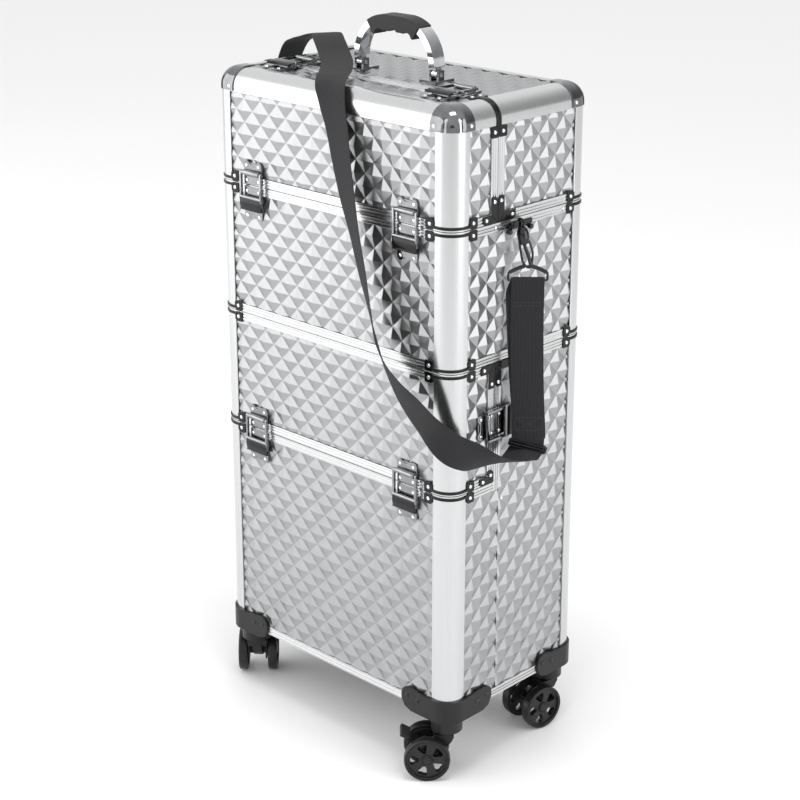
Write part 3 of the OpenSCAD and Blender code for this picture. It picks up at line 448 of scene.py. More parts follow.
def pyramid_tree():
    """A field of four-sided pyramids on a diamond lattice in local XY, their points along Z."""
    kinds = {"Cell": "Float", "Rise": "Float", "Columns": "Int", "Rows": "Int", "Material": "Material"}
    tree, given = new_tree("embossed board", kinds)
    cell, rows = given["Cell"], given["Rows"]
    size = [maths(tree, "MULTIPLY", maths(tree, "SUBTRACT", given[key], 1), cell) for key in ("Columns", "Rows")]
    grid = add_node(tree, "GeometryNodeMeshGrid", {"Size X": size[0], "Size Y": size[1],
                                                   "Vertices X": given["Columns"], "Vertices Y": rows})
    index = tree.nodes.new("GeometryNodeInputIndex").outputs[0]
    column = maths(tree, "FLOOR", maths(tree, "DIVIDE", maths(tree, "ADD", index, 0.5), rows), 0)
    row = maths(tree, "FLOORED_MODULO", index, rows)
    odd = maths(tree, "FLOORED_MODULO", maths(tree, "ADD", column, row), 2)
    shape = {"Vertices": 4, "Radius Bottom": cell, "Depth": given["Rise"]}
    cone = add_node(tree, "GeometryNodeMeshCone", shape, fill_type="NONE")
    even = maths(tree, "LESS_THAN", odd, 0.5)
    spread = add_node(tree, "GeometryNodeInstanceOnPoints", {"Points": grid.outputs["Mesh"],
                                                             "Instance": cone.outputs["Mesh"], "Selection": even})
    return finish_tree(tree, given, spread.outputs[0])


def run_tree(tree, name, values, base=None):
    """The plain mesh that a node tree makes from named inputs."""
    holder = place_in_scene(name + "_source", base or bpy.data.meshes.new(name + "_base"))
    mod = holder.modifiers.new("nodes", "NODES")
    mod.node_group = tree
    keys = {s.name: s.identifier for s in tree.interface.items_tree if s.in_out == "INPUT"}
    for key, value in values.items():
        mod[keys[key]] = value
    holder.update_tag()
    mesh = evaluated_mesh(holder)
    bpy.data.objects.remove(holder)
    return mesh


PYRAMIDS = pyramid_tree()
CELL, RISE = 0.0145, 0.0031
# Play round a sheet, how deep it lies, how far the lining is drawn in behind it, and how deep its rim turns back
INSET, SUNK, PULL_IN, TURN_BACK = 0.0003, 0.0007, 0.0017, 0.0006


def add_sheet(bm, origin, right, up, width, height):
    """One embossed sheet, trimmed to its size, with its rim turned back; origin is its lower left corner."""
    columns, rows = (2 * math.ceil(size / CELL / 2) + 5 for size in (width, height))
    values = {"Cell": CELL, "Rise": RISE, "Columns": columns, "Rows": rows, "Material": BOARD}
    mesh = run_tree(PYRAMIDS, "sheet", values)
    sheet = bmesh.new()
    sheet.from_mesh(mesh)
    bpy.data.meshes.remove(mesh)
    bmesh.ops.remove_doubles(sheet, verts=sheet.verts, dist=1e-5)
    for side in ((1, 0, 0), (-1, 0, 0), (0, 1, 0), (0, -1, 0)):
        edge = (side[0] * width / 2, side[1] * height / 2, 0)
        everything = sheet.verts[:] + sheet.edges[:] + sheet.faces[:]
        bmesh.ops.bisect_plane(sheet, geom=everything, plane_co=edge, plane_no=side, clear_outer=True, dist=1e-6)
    rim = [e for e in sheet.edges if e.is_boundary]
    for v in bmesh.ops.extrude_edge_only(sheet, edges=rim)["geom"]:
        if isinstance(v, bmesh.types.BMVert):
            v.co.z = -TURN_BACK
    bmesh.ops.contextual_create(sheet, geom=[e for e in sheet.edges if e.is_boundary])
    bmesh.ops.recalc_face_normals(sheet, faces=sheet.faces)
    where = frame_at(origin, right, up) @ moved(width / 2, height / 2, -SUNK)
    made = {v: bm.verts.new(where @ v.co) for v in sheet.verts}
    for f in sheet.faces:
        bm.faces.new([made[v] for v in f.verts])
    sheet.free()


RIM = RIM_H + HALF_GAP
BEHIND, BEFORE = SEAM_Y + RIM, SEAM_Y - RIM
Y_FRONT, Y_BACK, X_EDGE = -HALF_D + POST_LEG, HALF_D - POST_LEG, HALF_W - POST_LEG - INSET


def face_sheet(bm, side, low, high):
    """The sheet of the front (side -1) or of the back (side 1)."""
    add_sheet(bm, (side * X_EDGE, side * (HALF_D - WALL), low + INSET), (-side, 0, 0), (0, 0, 1), 2 * X_EDGE,
              high - low - 2 * INSET)


def side_sheets(bm, low, high, y0, y1):
    size = (y1 - y0 - 2 * INSET, high - low - 2 * INSET)
    add_sheet(bm, (HALF_W - WALL, y0 + INSET, low + INSET), (0, 1, 0), (0, 0, 1), *size)
    add_sheet(bm, (-HALF_W + WALL, y1 - INSET, low + INSET), (0, -1, 0), (0, 0, 1), *size)


def top_sheet(bm, y0, y1):
    add_sheet(bm, (-X_EDGE, y0 + INSET, Z_TOP - WALL), (1, 0, 0), (0, 1, 0), 2 * X_EDGE, y1 - y0 - 2 * INSET)


def make_boards():
    floor, drawer, split, lid, top = Z_BASE + BASE_H, Z_COVER, Z_SPLIT, Z_LID, Z_TOP - POST_LEG
    plan = (
        ("lower_", "lower_case", (
            (face_sheet, -1, floor, drawer - RIM), (face_sheet, 1, floor, split - RIM),
            (side_sheets, floor, drawer - RIM, Y_FRONT, BEHIND), (side_sheets, floor, split - RIM, BEHIND, Y_BACK))),
        ("lower_cover_", "lower_cover", (
            (face_sheet, -1, drawer + RIM, split - RIM), (side_sheets, drawer + RIM, split - RIM, Y_FRONT, BEFORE))),
        ("upper_", "upper_case", (
            (face_sheet, -1, split + RIM, lid - RIM), (face_sheet, 1, split + RIM, lid - RIM),
            (side_sheets, split + RIM, lid - RIM, Y_FRONT, Y_BACK))),
        ("upper_cover_", "upper_cover", (
            (face_sheet, -1, lid + RIM, top), (side_sheets, lid + RIM, top, Y_FRONT, BEFORE),
            (top_sheet, Y_FRONT, BEFORE))),
        ("lid_", "rear_lid", (
            (face_sheet, 1, lid + RIM, top), (side_sheets, lid + RIM, top, BEHIND, Y_BACK),
            (top_sheet, BEHIND, Y_BACK))),
    )
    for name, body, sheets in plan:
        bm = bmesh.new()
        for build, *sizes in sheets:
            build(bm, *sizes)
        obj = bevelled(to_object(name + "embossed_boards", bm, BOARD, 6), 0.0005, 2, 8)
        mount(obj, body)
        # The lining: the CAD boards with their outer faces drawn in, to leave room for the foot of the pyramids
        inner = merged(name + "panels")
        for v in inner.verts:
            at = v.co - PLACE
            for axis, face in enumerate((HALF_W - WALL, HALF_D - WALL, Z_TOP - WALL)):
                if abs(abs(at[axis]) - face) < 1e-5:
                    v.co[axis] -= math.copysign(PULL_IN, at[axis])
        mount(to_object(name + "panels_lining", inner, LINING), body, name + "panels")


# Heads set on points, made with Geometry Nodes: rivets and stitches


def heads_tree():
    """Sets a head on each point, its Z along the point's facing and its X along the point's across."""
    tree, given = new_tree("set heads", {"Head": "Object", "Size": "Float", "Material": "Material"})
    head = add_node(tree, "GeometryNodeObjectInfo", {"Object": given["Head"]})
    ways = [add_node(tree, "GeometryNodeInputNamedAttribute", {"Name": name}, data_type="FLOAT_VECTOR")
            for name in ("facing", "across")]
    facing = add_node(tree, "FunctionNodeAlignRotationToVector", {"Vector": ways[0].outputs["Attribute"]}, axis="Z")
    turned = add_node(tree, "FunctionNodeAlignRotationToVector",
                      {"Vector": ways[1].outputs["Attribute"], "Rotation": facing.outputs["Rotation"]},
                      axis="X", pivot_axis="Z")
    spread = add_node(tree, "GeometryNodeInstanceOnPoints",
                      {"Points": given["Geometry"], "Instance": head.outputs["Geometry"],
                       "Rotation": turned.outputs["Rotation"], "Scale": given["Size"]})
    return finish_tree(tree, given, spread.outputs[0])


HEADS = heads_tree()


def head_shape(name, profile, steps, stretch=(1, 1, 1)):
    bm = bmesh.new()
    add_lathe(bm, profile, Matrix.Diagonal((*stretch, 1)), steps)
    return to_object(name, bm, RIVET)


def set_heads(name, body, head, places, mat, stands_for=None, size=1.0):
    """Real heads at places, each a point, the way it faces and the way of its X."""
    base = bpy.data.meshes.new(name + "_points")
    base.from_pydata([p for p, _, _ in places], [], [])
    for key, column in (("facing", 1), ("across", 2)):
        layer = base.attributes.new(key, "FLOAT_VECTOR", "POINT")
        for k, row in enumerate(places):
            layer.data[k].vector = row[column]
    obj = place_in_scene(name, run_tree(HEADS, name, {"Head": head, "Size": size, "Material": mat}, base))
    smooth(obj, 50)
    mount(obj, body, stands_for)


# Corner connectors, brackets and edge bands, made at the front right corner and mirrored

# Thickness of a fitting, a band's width and distance from its seam, a square plate's side, and a bracket's leg
CONNECT_T, BAND_W, BAND_OFF, SQUARE, LEG = 0.0012, 0.0034, 0.002, 0.013, 0.03
# How far a fitting sinks into its board, a band's steps in a quarter turn, and their length where it runs straight
BED, TURN_STEPS, STEP_L = 0.0002, 16, 0.0025


def at_corner(sx, sy):
    flip = Matrix.Diagonal((sx, -sy, 1, 1))
    return Matrix.Translation(PLACE) @ flip @ moved(HALF_W, -HALF_D, 0)


def clipped(a0, a1, b0, b1, c, d):
    """A rectangle whose corners are cut off, by c on its low-a side and by d on its high-a side."""
    return [(a0 + c, b0), (a1 - d, b0), (a1, b0 + d), (a1, b1 - d), (a1 - d, b1), (a0 + c, b1), (a0, b1 - c),
            (a0, b0 + c)]


def front_plate(bm, where, outline):
    """A plate on the front face: its outline in distance from the corner and height."""
    add_loft(bm, *([(-a, y, b) for a, b in outline] for y in (BED, -CONNECT_T)), where)


def side_plate(bm, where, outline):
    add_loft(bm, *([(x, a, b) for a, b in outline] for x in (-BED, CONNECT_T)), where)


def top_plate(bm, where, outline):
    add_loft(bm, *([(-a, b, Z_TOP + z) for a, b in outline] for z in (-BED, CONNECT_T)), where)


def add_band(bm, where, low, high, bend):
    """A band with rounded edges round a corner of radius POST_R; bend gives a point from (out, angle, height)."""
    t, e = CONNECT_T + 0.0002, 0.0004
    section = [(-BED, low), (t - e, low), (t, low + e), (t, high - e), (t - e, high), (-BED, high)]
    rings = [[bm.verts.new(where @ Vector(bend(out, step, h))) for out, h in section]
             for step in range(-3, TURN_STEPS + 4)]
    join_rings(bm, rings)


def round_the_post(out, step, h):
    """Steps from 0 to TURN_STEPS turn round the post; the steps outside run straight on along the faces."""
    k = max(0, min(TURN_STEPS, step))
    a = math.radians(-90 + 90 * k / TURN_STEPS)
    along = STEP_L * (step - k)
    x = -POST_R + (POST_R + out) * math.cos(a) + (along if step < 0 else 0)
    y = POST_R + (POST_R + out) * math.sin(a) + (along if step > TURN_STEPS else 0)
    return (x, y, h)


def over_the_edge(out, step, h):
    """The same round a top edge, from the top board to the side board; h runs back from the corner."""
    x, y, _ = round_the_post(out, step, h)
    return (x, h, Z_TOP - y)


def add_rivet(rivets, where, spot, facing, across=(0, 0, 1)):
    rivets.append((where @ Vector(spot), where.to_3x3() @ Vector(facing), Vector(across)))


def connector(bm, rivets, sx, sy, z, up):
    where = at_corner(sx, sy)
    s = 1 if up else -1
    heights = sorted((z + s * BAND_OFF, z + s * (BAND_OFF + BAND_W)))
    add_band(bm, where, *heights, round_the_post)
    low, high = sorted((z + s * 0.0006, z + s * SQUARE))
    outline = clipped(POST_LEG, POST_LEG + SQUARE, low, high, 0.0026, 0.0012)
    front_plate(bm, where, outline)
    side_plate(bm, where, outline)
    middle, height = POST_LEG + SQUARE / 2, (low + high) / 2
    add_rivet(rivets, where, (-middle, -CONNECT_T, height), (0, -1, 0))
    add_rivet(rivets, where, (CONNECT_T, middle, height), (1, 0, 0))


def bracket(bm, rivets, side, y, z, ay, az):
    """An L bracket on a side face in two mitred legs, with a fold line left open between them."""
    where = Matrix.Translation(PLACE) @ Matrix.Diagonal((side, 1, 1, 1)) @ moved(HALF_W, 0, 0)
    sy, sz = math.copysign(1, ay), math.copysign(1, az)
    r, g = RIM_H, 0.0004
    flat = [(g, 0), (abs(ay) - 0.003, 0), (abs(ay), 0.003), (abs(ay), r), (r + g, r)]
    tall = [(0, g), (r, r + g), (r, abs(az)), (0.003, abs(az)), (0, abs(az) - 0.003)]
    for leg in (flat, tall):
        side_plate(bm, where, [(y + sy * a, z + sz * b) for a, b in leg])
    for a, b in ((abs(ay) - 0.0055, r / 2), (r / 2, abs(az) - 0.0055)):
        add_rivet(rivets, where, (CONNECT_T, y + sy * a, z + sz * b), (1, 0, 0))


def edge_band(bm, rivets, side, low, s):
    """A band over a top edge, at low behind the front face, with a square on the top and one on the side."""
    where = at_corner(side, -1)
    a, b = sorted((low, low + s * BAND_W))
    add_band(bm, where, a, b, over_the_edge)
    a, b = sorted((low, low + s * SQUARE))
    down = Z_TOP - POST_LEG
    side_plate(bm, where, clipped(a, b, down - SQUARE, down, 0.0014, 0.0014))
    top_plate(bm, where, clipped(POST_LEG, POST_LEG + SQUARE, a, b, 0.0014, 0.0014))
    middle = (a + b) / 2
    add_rivet(rivets, where, (CONNECT_T, middle, down - SQUARE / 2), (1, 0, 0), (1, 1, 0))
    add_rivet(rivets, where, (-POST_LEG - SQUARE / 2, middle, Z_TOP + CONNECT_T), (0, 0, 1), (1, 1, 0))


def face_rivets(rivets, spots, out):
    """Rivets at (distance from the corner, height), on the front and side faces of the corners they name."""
    for sx, sy, faces, a, z in spots:
        if "front" in faces:
            add_rivet(rivets, at_corner(sx, sy), (-a, -out, z), (0, -1, 0))
        if "side" in faces:
            add_rivet(rivets, at_corner(sx, sy), (out, a, z), (1, 0, 0))


def make_corner_fittings():
    head = head_shape("rivet_head", [(0.0024, -0.0002), (0.0024, 0.0002), (0.0021, 0.0005), (0.0014, 0.0008),
                                     (0.0006, 0.0009), (0, 0.0009)], 14)
    both, guard, board_y, rim_z = (1, -1), 0.074, SEAM_Y + HALF_D, Z_LID - HALF_GAP - RIM_H / 2
    behind, before = SEAM_Y + HALF_GAP, SEAM_Y - HALF_GAP
    tall, short, low = LEG, LEG - 0.006, LEG - 0.014
    # Body, node, corners (side, seam, up), brackets (place, seam, two legs), which side of the seam the top edge is
    plan = (
        ("lower_case", "lower_", [(-1, Z_COVER, 0), (1, Z_SPLIT, 0)], [(behind, Z_SPLIT, tall, -tall)], 0),
        ("lower_cover", "lower_cover_", [(-1, Z_COVER, 1), (-1, Z_SPLIT, 0)],
         [(before, Z_SPLIT, -short, -tall), (before, Z_COVER, -short, low)], 0),
        ("upper_case", "upper_", [(-1, Z_SPLIT, 1), (1, Z_SPLIT, 1), (-1, Z_LID, 0), (1, Z_LID, 0)], [], 0),
        ("upper_cover", "upper_cover_", [(-1, Z_LID, 1)], [(before, Z_LID, -short, tall)], -1),
        ("rear_lid", "lid_", [(1, Z_LID, 1)], [(behind, Z_LID, tall, tall)], 1),
    )
    for body, node, corners, brackets, edge in plan:
        bm, rivets = bmesh.new(), []
        for sx in both:
            for sy, z, up in corners:
                connector(bm, rivets, sx, sy, z + (HALF_GAP if up else -HALF_GAP), up)
            for y, z, ay, az in brackets:
                bracket(bm, rivets, sx, y, z + math.copysign(HALF_GAP, az), ay, az)
            if edge:
                edge_band(bm, rivets, sx, SEAM_Y + HALF_D + edge * HALF_GAP, edge)
        piece(node + "connectors_fine", bm, BLACK_METAL, body, node + "connectors", 0.0003)
        if body == "lower_case":
            screws = [(sx, sy, "front side", guard - 0.009 - k * 0.017, Z_BASE + 0.011 - k * 0.002)
                      for sx in both for sy in both for k in (0, 1)]
            heads = []
            face_rivets(heads, screws, 0.003)
            set_heads("guard_screws", body, head, heads, BLACK_NICKEL, size=1.3)
        for sx in both:
            if body == "lower_case":
                face_rivets(rivets, [(sx, -1, "side", board_y + 0.018, Z_COVER - 0.026),
                                     (sx, 1, "side", 0.05, Z_COVER - 0.026)], -WALL)
            if body == "upper_case":
                face_rivets(rivets, [(sx, -1, "side", board_y - 0.002, rim_z), (sx, 1, "side", 0.045, rim_z)], 0)
            if edge:
                face_rivets(rivets, [(sx, edge, "front side", POST_R + 0.006, Z_TOP - POST_R + 0.0015)], 0.0014)
        stands_for = node + "rivets" if body.endswith("case") else None
        set_heads(body + "_rivet_heads", body, head, rivets, RIVET, stands_for)
    bpy.data.objects.remove(head)


# Pieces kept from the frame with soft edges


def cap_centre(sx, sy):
    return at_corner(sx, sy) @ moved(-POST_R, POST_R, Z_TOP - POST_R)


def keyholes(obj, sy):
    """Opens the tops of the two slots of each ball cap into round holes."""
    bm = bmesh.new()
    hole, low, high = 0.0028, 0.012, 0.034
    for sx in (1, -1):
        for a in (-22, -68):
            turn = turned(a, "Z") @ turned(90 - 25, "Y")
            add_lathe(bm, [(0, low), (hole, low), (hole, high), (0, high)], cap_centre(sx, sy) @ turn, 20)
    cutter = recalc(to_object("keyhole_cutter", bm, CHROME_PAINTED_DARK))
    mod = obj.modifiers.new("holes", "BOOLEAN")
    mod.object = cutter
    mod.operation = "DIFFERENCE"
    mod.solver = "EXACT"
    mesh = evaluated_mesh(obj)
    obj.modifiers.remove(mod)
    obj.data = mesh
    bpy.data.objects.remove(cutter)
    smooth(obj, 32)


def ball_cap_lining(name, body, sy):
    """The rounded aluminium corner that shows through the slots of the two caps at the front or at the back."""
    bm, n = bmesh.new(), 8
    ways = [(math.cos(up) * math.cos(a), math.cos(up) * math.sin(a), math.sin(up))
            for up in (math.radians(88 * i / n) for i in range(n + 1))
            for a in (math.radians(-90 + 90 * j / n) for j in range(n + 1))]
    outer, inner = ([(r * x, r * y, r * z) for x, y, z in ways] for r in (POST_R - 0.0003, POST_R - 0.0011))
    for sx in (1, -1):
        add_shell(bm, outer, inner, n, cap_centre(sx, sy))
    piece(name, bm, PROFILE, body)


def make_refined():
    body_of = {n: b for b, names in frame["record"]["behaviour"]["bodies"].items() for n in names}
    plan = (
        ("lower_frame upper_frame lid_frame lower_cover_frame upper_cover_frame", PROFILE, 0.0004),
        ("guard_front_left guard_front_right guard_rear_left guard_rear_right", PLASTIC, 0.0015),
        ("handle_sleeves", PLASTIC, 0.0008), ("pull_handle_mid", TUBE, 0.0003), ("pull_handle_grip", PLASTIC, 0.002),
        ("pull_handle_button", PLASTIC, 0.001), ("lid_hinge_case lid_hinge_lid", CHROME, 0.0003),
        ("handle_feet", CHROME_PAINTED_DARK, 0.0008), ("carry_handle_bow", CHROME, 0.0028),
        ("carry_handle_grip", RUBBER, 0.003), ("brake_pedal_left brake_pedal_right", PLASTIC, 0.0006),
    )
    for names, mat, width in plan:
        for node in names.split():
            refined(node, body_of[node], mat, width, 4 if width > 0.002 else 2)
    # The ball caps take the chrome whose dark tone is painted reflection
    for node, sy in (("cover_ball_caps", -1), ("lid_ball_caps", 1)):
        obj = refined(node, body_of[node], CHROME_PAINTED_DARK, 0)
        keyholes(obj, sy)
        ball_cap_lining(node + "_lining", body_of[node], sy)
        bevelled(obj, 0.0004, 2, 35)
    for node in ("lower_boards", "upper_floor"):
        nodes[node].data.materials.clear()
        nodes[node].data.materials.append(LINING)


# The wheels, turned and pierced, and their forks

# A wheel's radius and width, the distance of a pair, how far it trails, and how far the stem is in from the faces
WHEEL_R, WHEEL_W, TWIN, TRAIL, CASTER_IN = 0.028, 0.012, 0.039, 0.024, 0.024
# Radii of the hub, the rim's inside and the axle, and the two faces of the web
HUB_R, RIM_R, AXLE_R, WEB = 0.0068, 0.0232, 0.0035, (-0.003, 0.0035)
AXLE = moved(TRAIL, 0, WHEEL_R) @ FLAT
# Half the room between two wheels, the height of the fork's head, and the outer and inner radius of the guards
ROOM, NECK, HOOD = TWIN / 2 - WHEEL_W / 2 - 0.0006, 0.06, (0.024, 0.0148)


def at_caster(name):
    sx = -1 if "left" in name else 1
    sy = -1 if "front" in name else 1
    place = PLACE + Vector((sx * (HALF_W - CASTER_IN), sy * (HALF_D - CASTER_IN), 0))
    return Matrix.Translation(place) @ turned(CASTER_TURN[name], "Z")


def wheel_web(bm, where):
    """The disc between hub and rim, in sectors that each have a rounded three-cornered hole."""
    spokes, r0, r1, middle = 5, HUB_R, RIM_R, 0.0158
    half = math.pi / spokes
    edge = [(r0, -half + 2 * half * k / 6) for k in range(6)] + [(r0 + (r1 - r0) * k / 6, half) for k in range(6)]
    edge += [(r1, half - 2 * half * k / 10) for k in range(10)] + [(r1 - (r1 - r0) * k / 6, -half) for k in range(6)]
    outer, hole = [], []
    for r, a in edge:
        x, y = r * math.cos(a), r * math.sin(a)
        way = math.atan2(y, x - middle)
        size = 0.0056 + 0.0012 * math.cos(3 * (way - math.pi))
        outer.append((x, y))
        hole.append((middle + size * math.cos(way), size * math.sin(way)))
    n = len(edge)
    verts = [(x, y, z) for z in WEB for ring in (outer, hole) for x, y in ring]
    faces = []
    for k, j in ((k, (k + 1) % n) for k in range(n)):
        faces += [(k, n + k, n + j, j), (2 * n + k, 2 * n + j, 3 * n + j, 3 * n + k),
                  (n + k, 3 * n + k, 3 * n + j, n + j)]
    for spoke in range(spokes):
        add_mesh(bm, verts, faces, where @ Matrix.Rotation(2 * half * spoke, 4, "Z"))


def make_wheels():
    half, reach = WHEEL_W / 2, (TWIN - WHEEL_W) / 2
    # Tyre and rim: a rounded tread, a step and the lip inside
    tyre = [(RIM_R, WEB[0]), (RIM_R, -half + 0.0006), (0.0236, -half), (0.0262, -half), (0.0272, -half + 0.0004),
            (0.0278, -half + 0.0014), (WHEEL_R, -half + 0.0032), (WHEEL_R, half - 0.0032), (0.0278, half - 0.0014),
            (0.0272, half - 0.0004), (0.0262, half), (0.0256, half - 0.0002), (0.0253, half - 0.0008),
            (0.0249, half - 0.0002), (0.0236, half - 0.0001), (RIM_R, half - 0.0008), (RIM_R, WEB[1])]
    # Hub with its round cap, and its back
    cap = [(HUB_R, WEB[1]), (HUB_R, half - 0.0012), (0.0064, half - 0.0006), (0.0055, half - 0.0005),
           (0.0052, half - 0.001), (0.0048, half - 0.0004), (0.003, half - 0.0001), (0, half)]
    back = [(HUB_R, WEB[0]), (HUB_R, -half + 0.0008), (0.006, -half), (AXLE_R, -half)]
    for name in CASTER_TURN:
        bm = bmesh.new()
        axis = at_caster(name) @ AXLE
        for s in (-1, 1):
            where = axis @ Matrix.Diagonal((1, 1, s, 1)) @ moved(0, 0, TWIN / 2)
            wheel_web(bm, where)
            add_lathe(bm, tyre, where, 56)
            add_lathe(bm, cap, where, 32)
            add_lathe(bm, back, where, 32)
        add_lathe(bm, [(AXLE_R, -reach), (AXLE_R, reach)], axis, 32)
        bmesh.ops.remove_doubles(bm, verts=bm.verts, dist=1e-6)
        piece("wheels_" + name + "_fine", bm, WHEEL, "twin_" + name, "wheels_" + name)


def make_forks():
    """A slim arm from stem to axle between two open guards, under the round head that turns in the socket."""
    stem = [(0, NECK - 0.0045), (ROOM - 0.0006, NECK - 0.0045), (ROOM, NECK - 0.0038), (ROOM, NECK - 0.0011),
            (ROOM - 0.0006, NECK - 0.0005), (0.005, NECK - 0.0005), (0.005, NECK + 0.0195), (0, NECK + 0.0195)]
    arm = arc(TRAIL, WHEEL_R, 0.0085, -135, 45, 10)
    arm += [(0.015, 0.044), (0.012, 0.05), (0.011, NECK - 0.004), (-0.008, NECK - 0.004), (-0.0086, 0.05),
            (-0.006, 0.043), (0.004, 0.031)]
    top = [(0.016, NECK - 0.004), (-0.0082, NECK - 0.004), (-0.0082, 0.052), (-0.003, 0.044), (0.012, 0.044),
           (0.016, 0.048)]
    guard = arc(TRAIL, WHEEL_R, HOOD[0], 8, 188, 24) + arc(TRAIL, WHEEL_R, HOOD[1], 188, 8, 24)
    for name in CASTER_TURN:
        bm = bmesh.new()
        here = at_caster(name)
        side = here @ FLAT
        add_lathe(bm, stem, here, 40)
        add_prism(bm, arm, -0.0062, 0.0062, side)
        add_prism(bm, top, -ROOM + 0.0002, ROOM - 0.0002, side)
        for s in (-1, 1):
            add_prism(bm, guard, s * (ROOM - 0.0014) - 0.0012, s * (ROOM - 0.0014) + 0.0012, side)
        add_lathe(bm, rod(HUB_R, ROOM, 0.0006, 0.0006), here @ AXLE, 28)
        node = "caster_fork_" + name
        piece(node + "_fine", bm, PLASTIC, "caster_" + name, node, 0.0005)


# The draw latches, made flat in local X (across) and Z (along), out towards local -Y

# Half a plate's width and its thickness, the lever's distance from the board and its thickness, the pivot's height
PLATE_HALF, PLATE_T, LEVER_IN, LEVER_T, PIVOT_UP = 0.019 - 0.003 - 0.0006, 0.0015, 0.0034, 0.003, 0.016
PIVOT_OUT = LEVER_IN + LEVER_T / 2
PIVOT = moved(0, -PIVOT_OUT, PIVOT_UP) @ ACROSS


def lobed(half, far, near):
    """A plate's outline from near to far, whose far end has two lobes with a dip between them."""
    sign = 1 if far > near else -1
    r = 0.0045
    y = far - sign * r
    right = arc(half - r, y, r, 0, 90 * sign, 5) + arc(half - r, y, r, 90 * sign, 150 * sign, 3)[1:]
    left = [(-x, z) for x, z in reversed(right)]
    points = [(half, near)] + right + [(half * 0.25, far - sign * 0.0042), (-half * 0.25, far - sign * 0.0042)] + left
    points += [(-half, near)]
    return points if sign > 0 else list(reversed(points))


def plate_base(bm, where, far, near, bed, middle, *rivets):
    """A lobed plate on its bed, with two rivet heads at each of the given heights."""
    add_prism(bm, lobed(PLATE_HALF, far, near), 0, PLATE_T, where @ FLAT)
    add_prism(bm, rounded_box(2 * PLATE_HALF - 0.002, bed, 0.002, 2, 0, middle), -0.0019, 0.0004, where @ FLAT)
    r, h = 0.0023, 0.0011
    profile = [(r, 0), (r, h * 0.3), (r * 0.85, h * 0.75), (r * 0.5, h * 0.96), (0, h)]
    for x in (-0.0105, 0.0105):
        for z in rivets:
            add_lathe(bm, profile, where @ moved(x, -PLATE_T, z) @ FLAT, 14, 1)


def box_outline(half, low, high):
    return [(-half, high), (-half, low), (half, low), (half, high)]


def hinge_plate(bm, where):
    plate_base(bm, where, 0.03, 0.0015, 0.017, 0.0195, 0.0243, 0.0062)
    add_lathe(bm, rod(0.0031, PLATE_HALF, 0.0002, 0.0004), where @ PIVOT, 20)
    add_prism(bm, box_outline(PLATE_HALF, PIVOT_UP - 0.0012, PIVOT_UP + 0.0012), PLATE_T, PIVOT_OUT, where @ FLAT)
    add_prism(bm, box_outline(PLATE_HALF - 0.001, 0.0106, 0.0116), PLATE_T - 0.0002, PLATE_T + 0.0006, where @ FLAT)


def catch_plate(bm, where):
    plate_base(bm, where, -0.043, -0.0015, 0.029, -0.0265, -0.0373, -0.0072)
    for narrower, high, r, steps, z, rise in ((0.008, 0.005, 0.001, 2, -0.0215, 0.0016),
                                              (0.002, 0.0012, 0.0004, 1, -0.0026, 0.0006)):
        bead = rounded_box(2 * PLATE_HALF - narrower, high, r, steps, 0, z)
        add_prism(bm, bead, PLATE_T - 0.0002, PLATE_T + rise, where @ FLAT)


def lever_frame(bm, where):
    add_lathe(bm, [(0, -0.0184), (0.0014, -0.0184), (0.0014, 0.0184), (0, 0.0184)], where @ PIVOT, 14)
    # Side rails, round at the pin, each with a knob outside
    outline = [(-PIVOT_OUT - 0.0015, -0.024), (-PIVOT_OUT + 0.0015, -0.024)]
    outline += arc(-PIVOT_OUT, PIVOT_UP, 0.0018, 0, 180, 8)
    for s in (-1, 1):
        add_loft(bm, *([(s * x, y, z) for y, z in outline] for x in (0.0161, 0.0189)), where)
        knob = moved(s * 0.0182, -PIVOT_OUT, -0.0165) @ turned(90 * s, "Y")
        add_lathe(bm, [(0, -0.0003), (0.0026, -0.0003), (0.0026, 0.0005), (0.0018, 0.0011), (0, 0.0012)],
                  where @ knob, 16)
    # The broad lever: a convex plate with a rolled upper edge and a lip at its tip
    half, rows, cols, upper, tip = 0.0187, 14, 8, -0.0145, -0.03
    front, rear = [], []
    for k in range(rows + 1):
        t = k / rows
        z = upper + t * (tip - upper)
        swell = 0.0012 * math.sin(math.pi * min(1, t * 1.15)) + (0.001 if t > 0.93 else 0.0)
        for x in (-half + 2 * half * c / cols for c in range(cols + 1)):
            edge = 0.0006 * (abs(x / half) ** 6)
            front.append((x, -LEVER_IN - LEVER_T - swell + edge, z))
            rear.append((x, -LEVER_IN - 0.0001, z))
    add_shell(bm, front, rear, cols, where, 1)
    roll = moved(0, -PIVOT_OUT - 0.0006, -0.0142) @ ACROSS
    add_lathe(bm, rod(0.0021, half, 0.0003, 0.0003), where @ roll, 18)


def on_front(side, z):
    return Matrix.Translation(PLACE + Vector((side * LATCH_X, -HALF_D, z)))


def on_side(side):
    turn = turned(90, "Z") @ turned(-90, "Y")
    flip = Matrix.Diagonal((side, 1, 1, 1))
    return Matrix.Translation(PLACE) @ flip @ moved(HALF_W, SEAM_Y, SIDE_LATCH_Z) @ turn


def on_top(side):
    return Matrix.Translation(PLACE + Vector((side * CLASP_X, SEAM_Y, Z_TOP))) @ turned(-90, "X")


def latch_piece(name, body, node, *made):
    bm = bmesh.new()
    for build, places in made:
        for where in places:
            build(bm, where)
    # The first finish is the latch chrome, whose dark tone is painted reflection
    latch_finishes = [LATCH_CHROME_PAINTED_DARK, RIVET if "plate" in name else BLACK_METAL]
    piece(name, bm, latch_finishes, body, node, 0.0003)


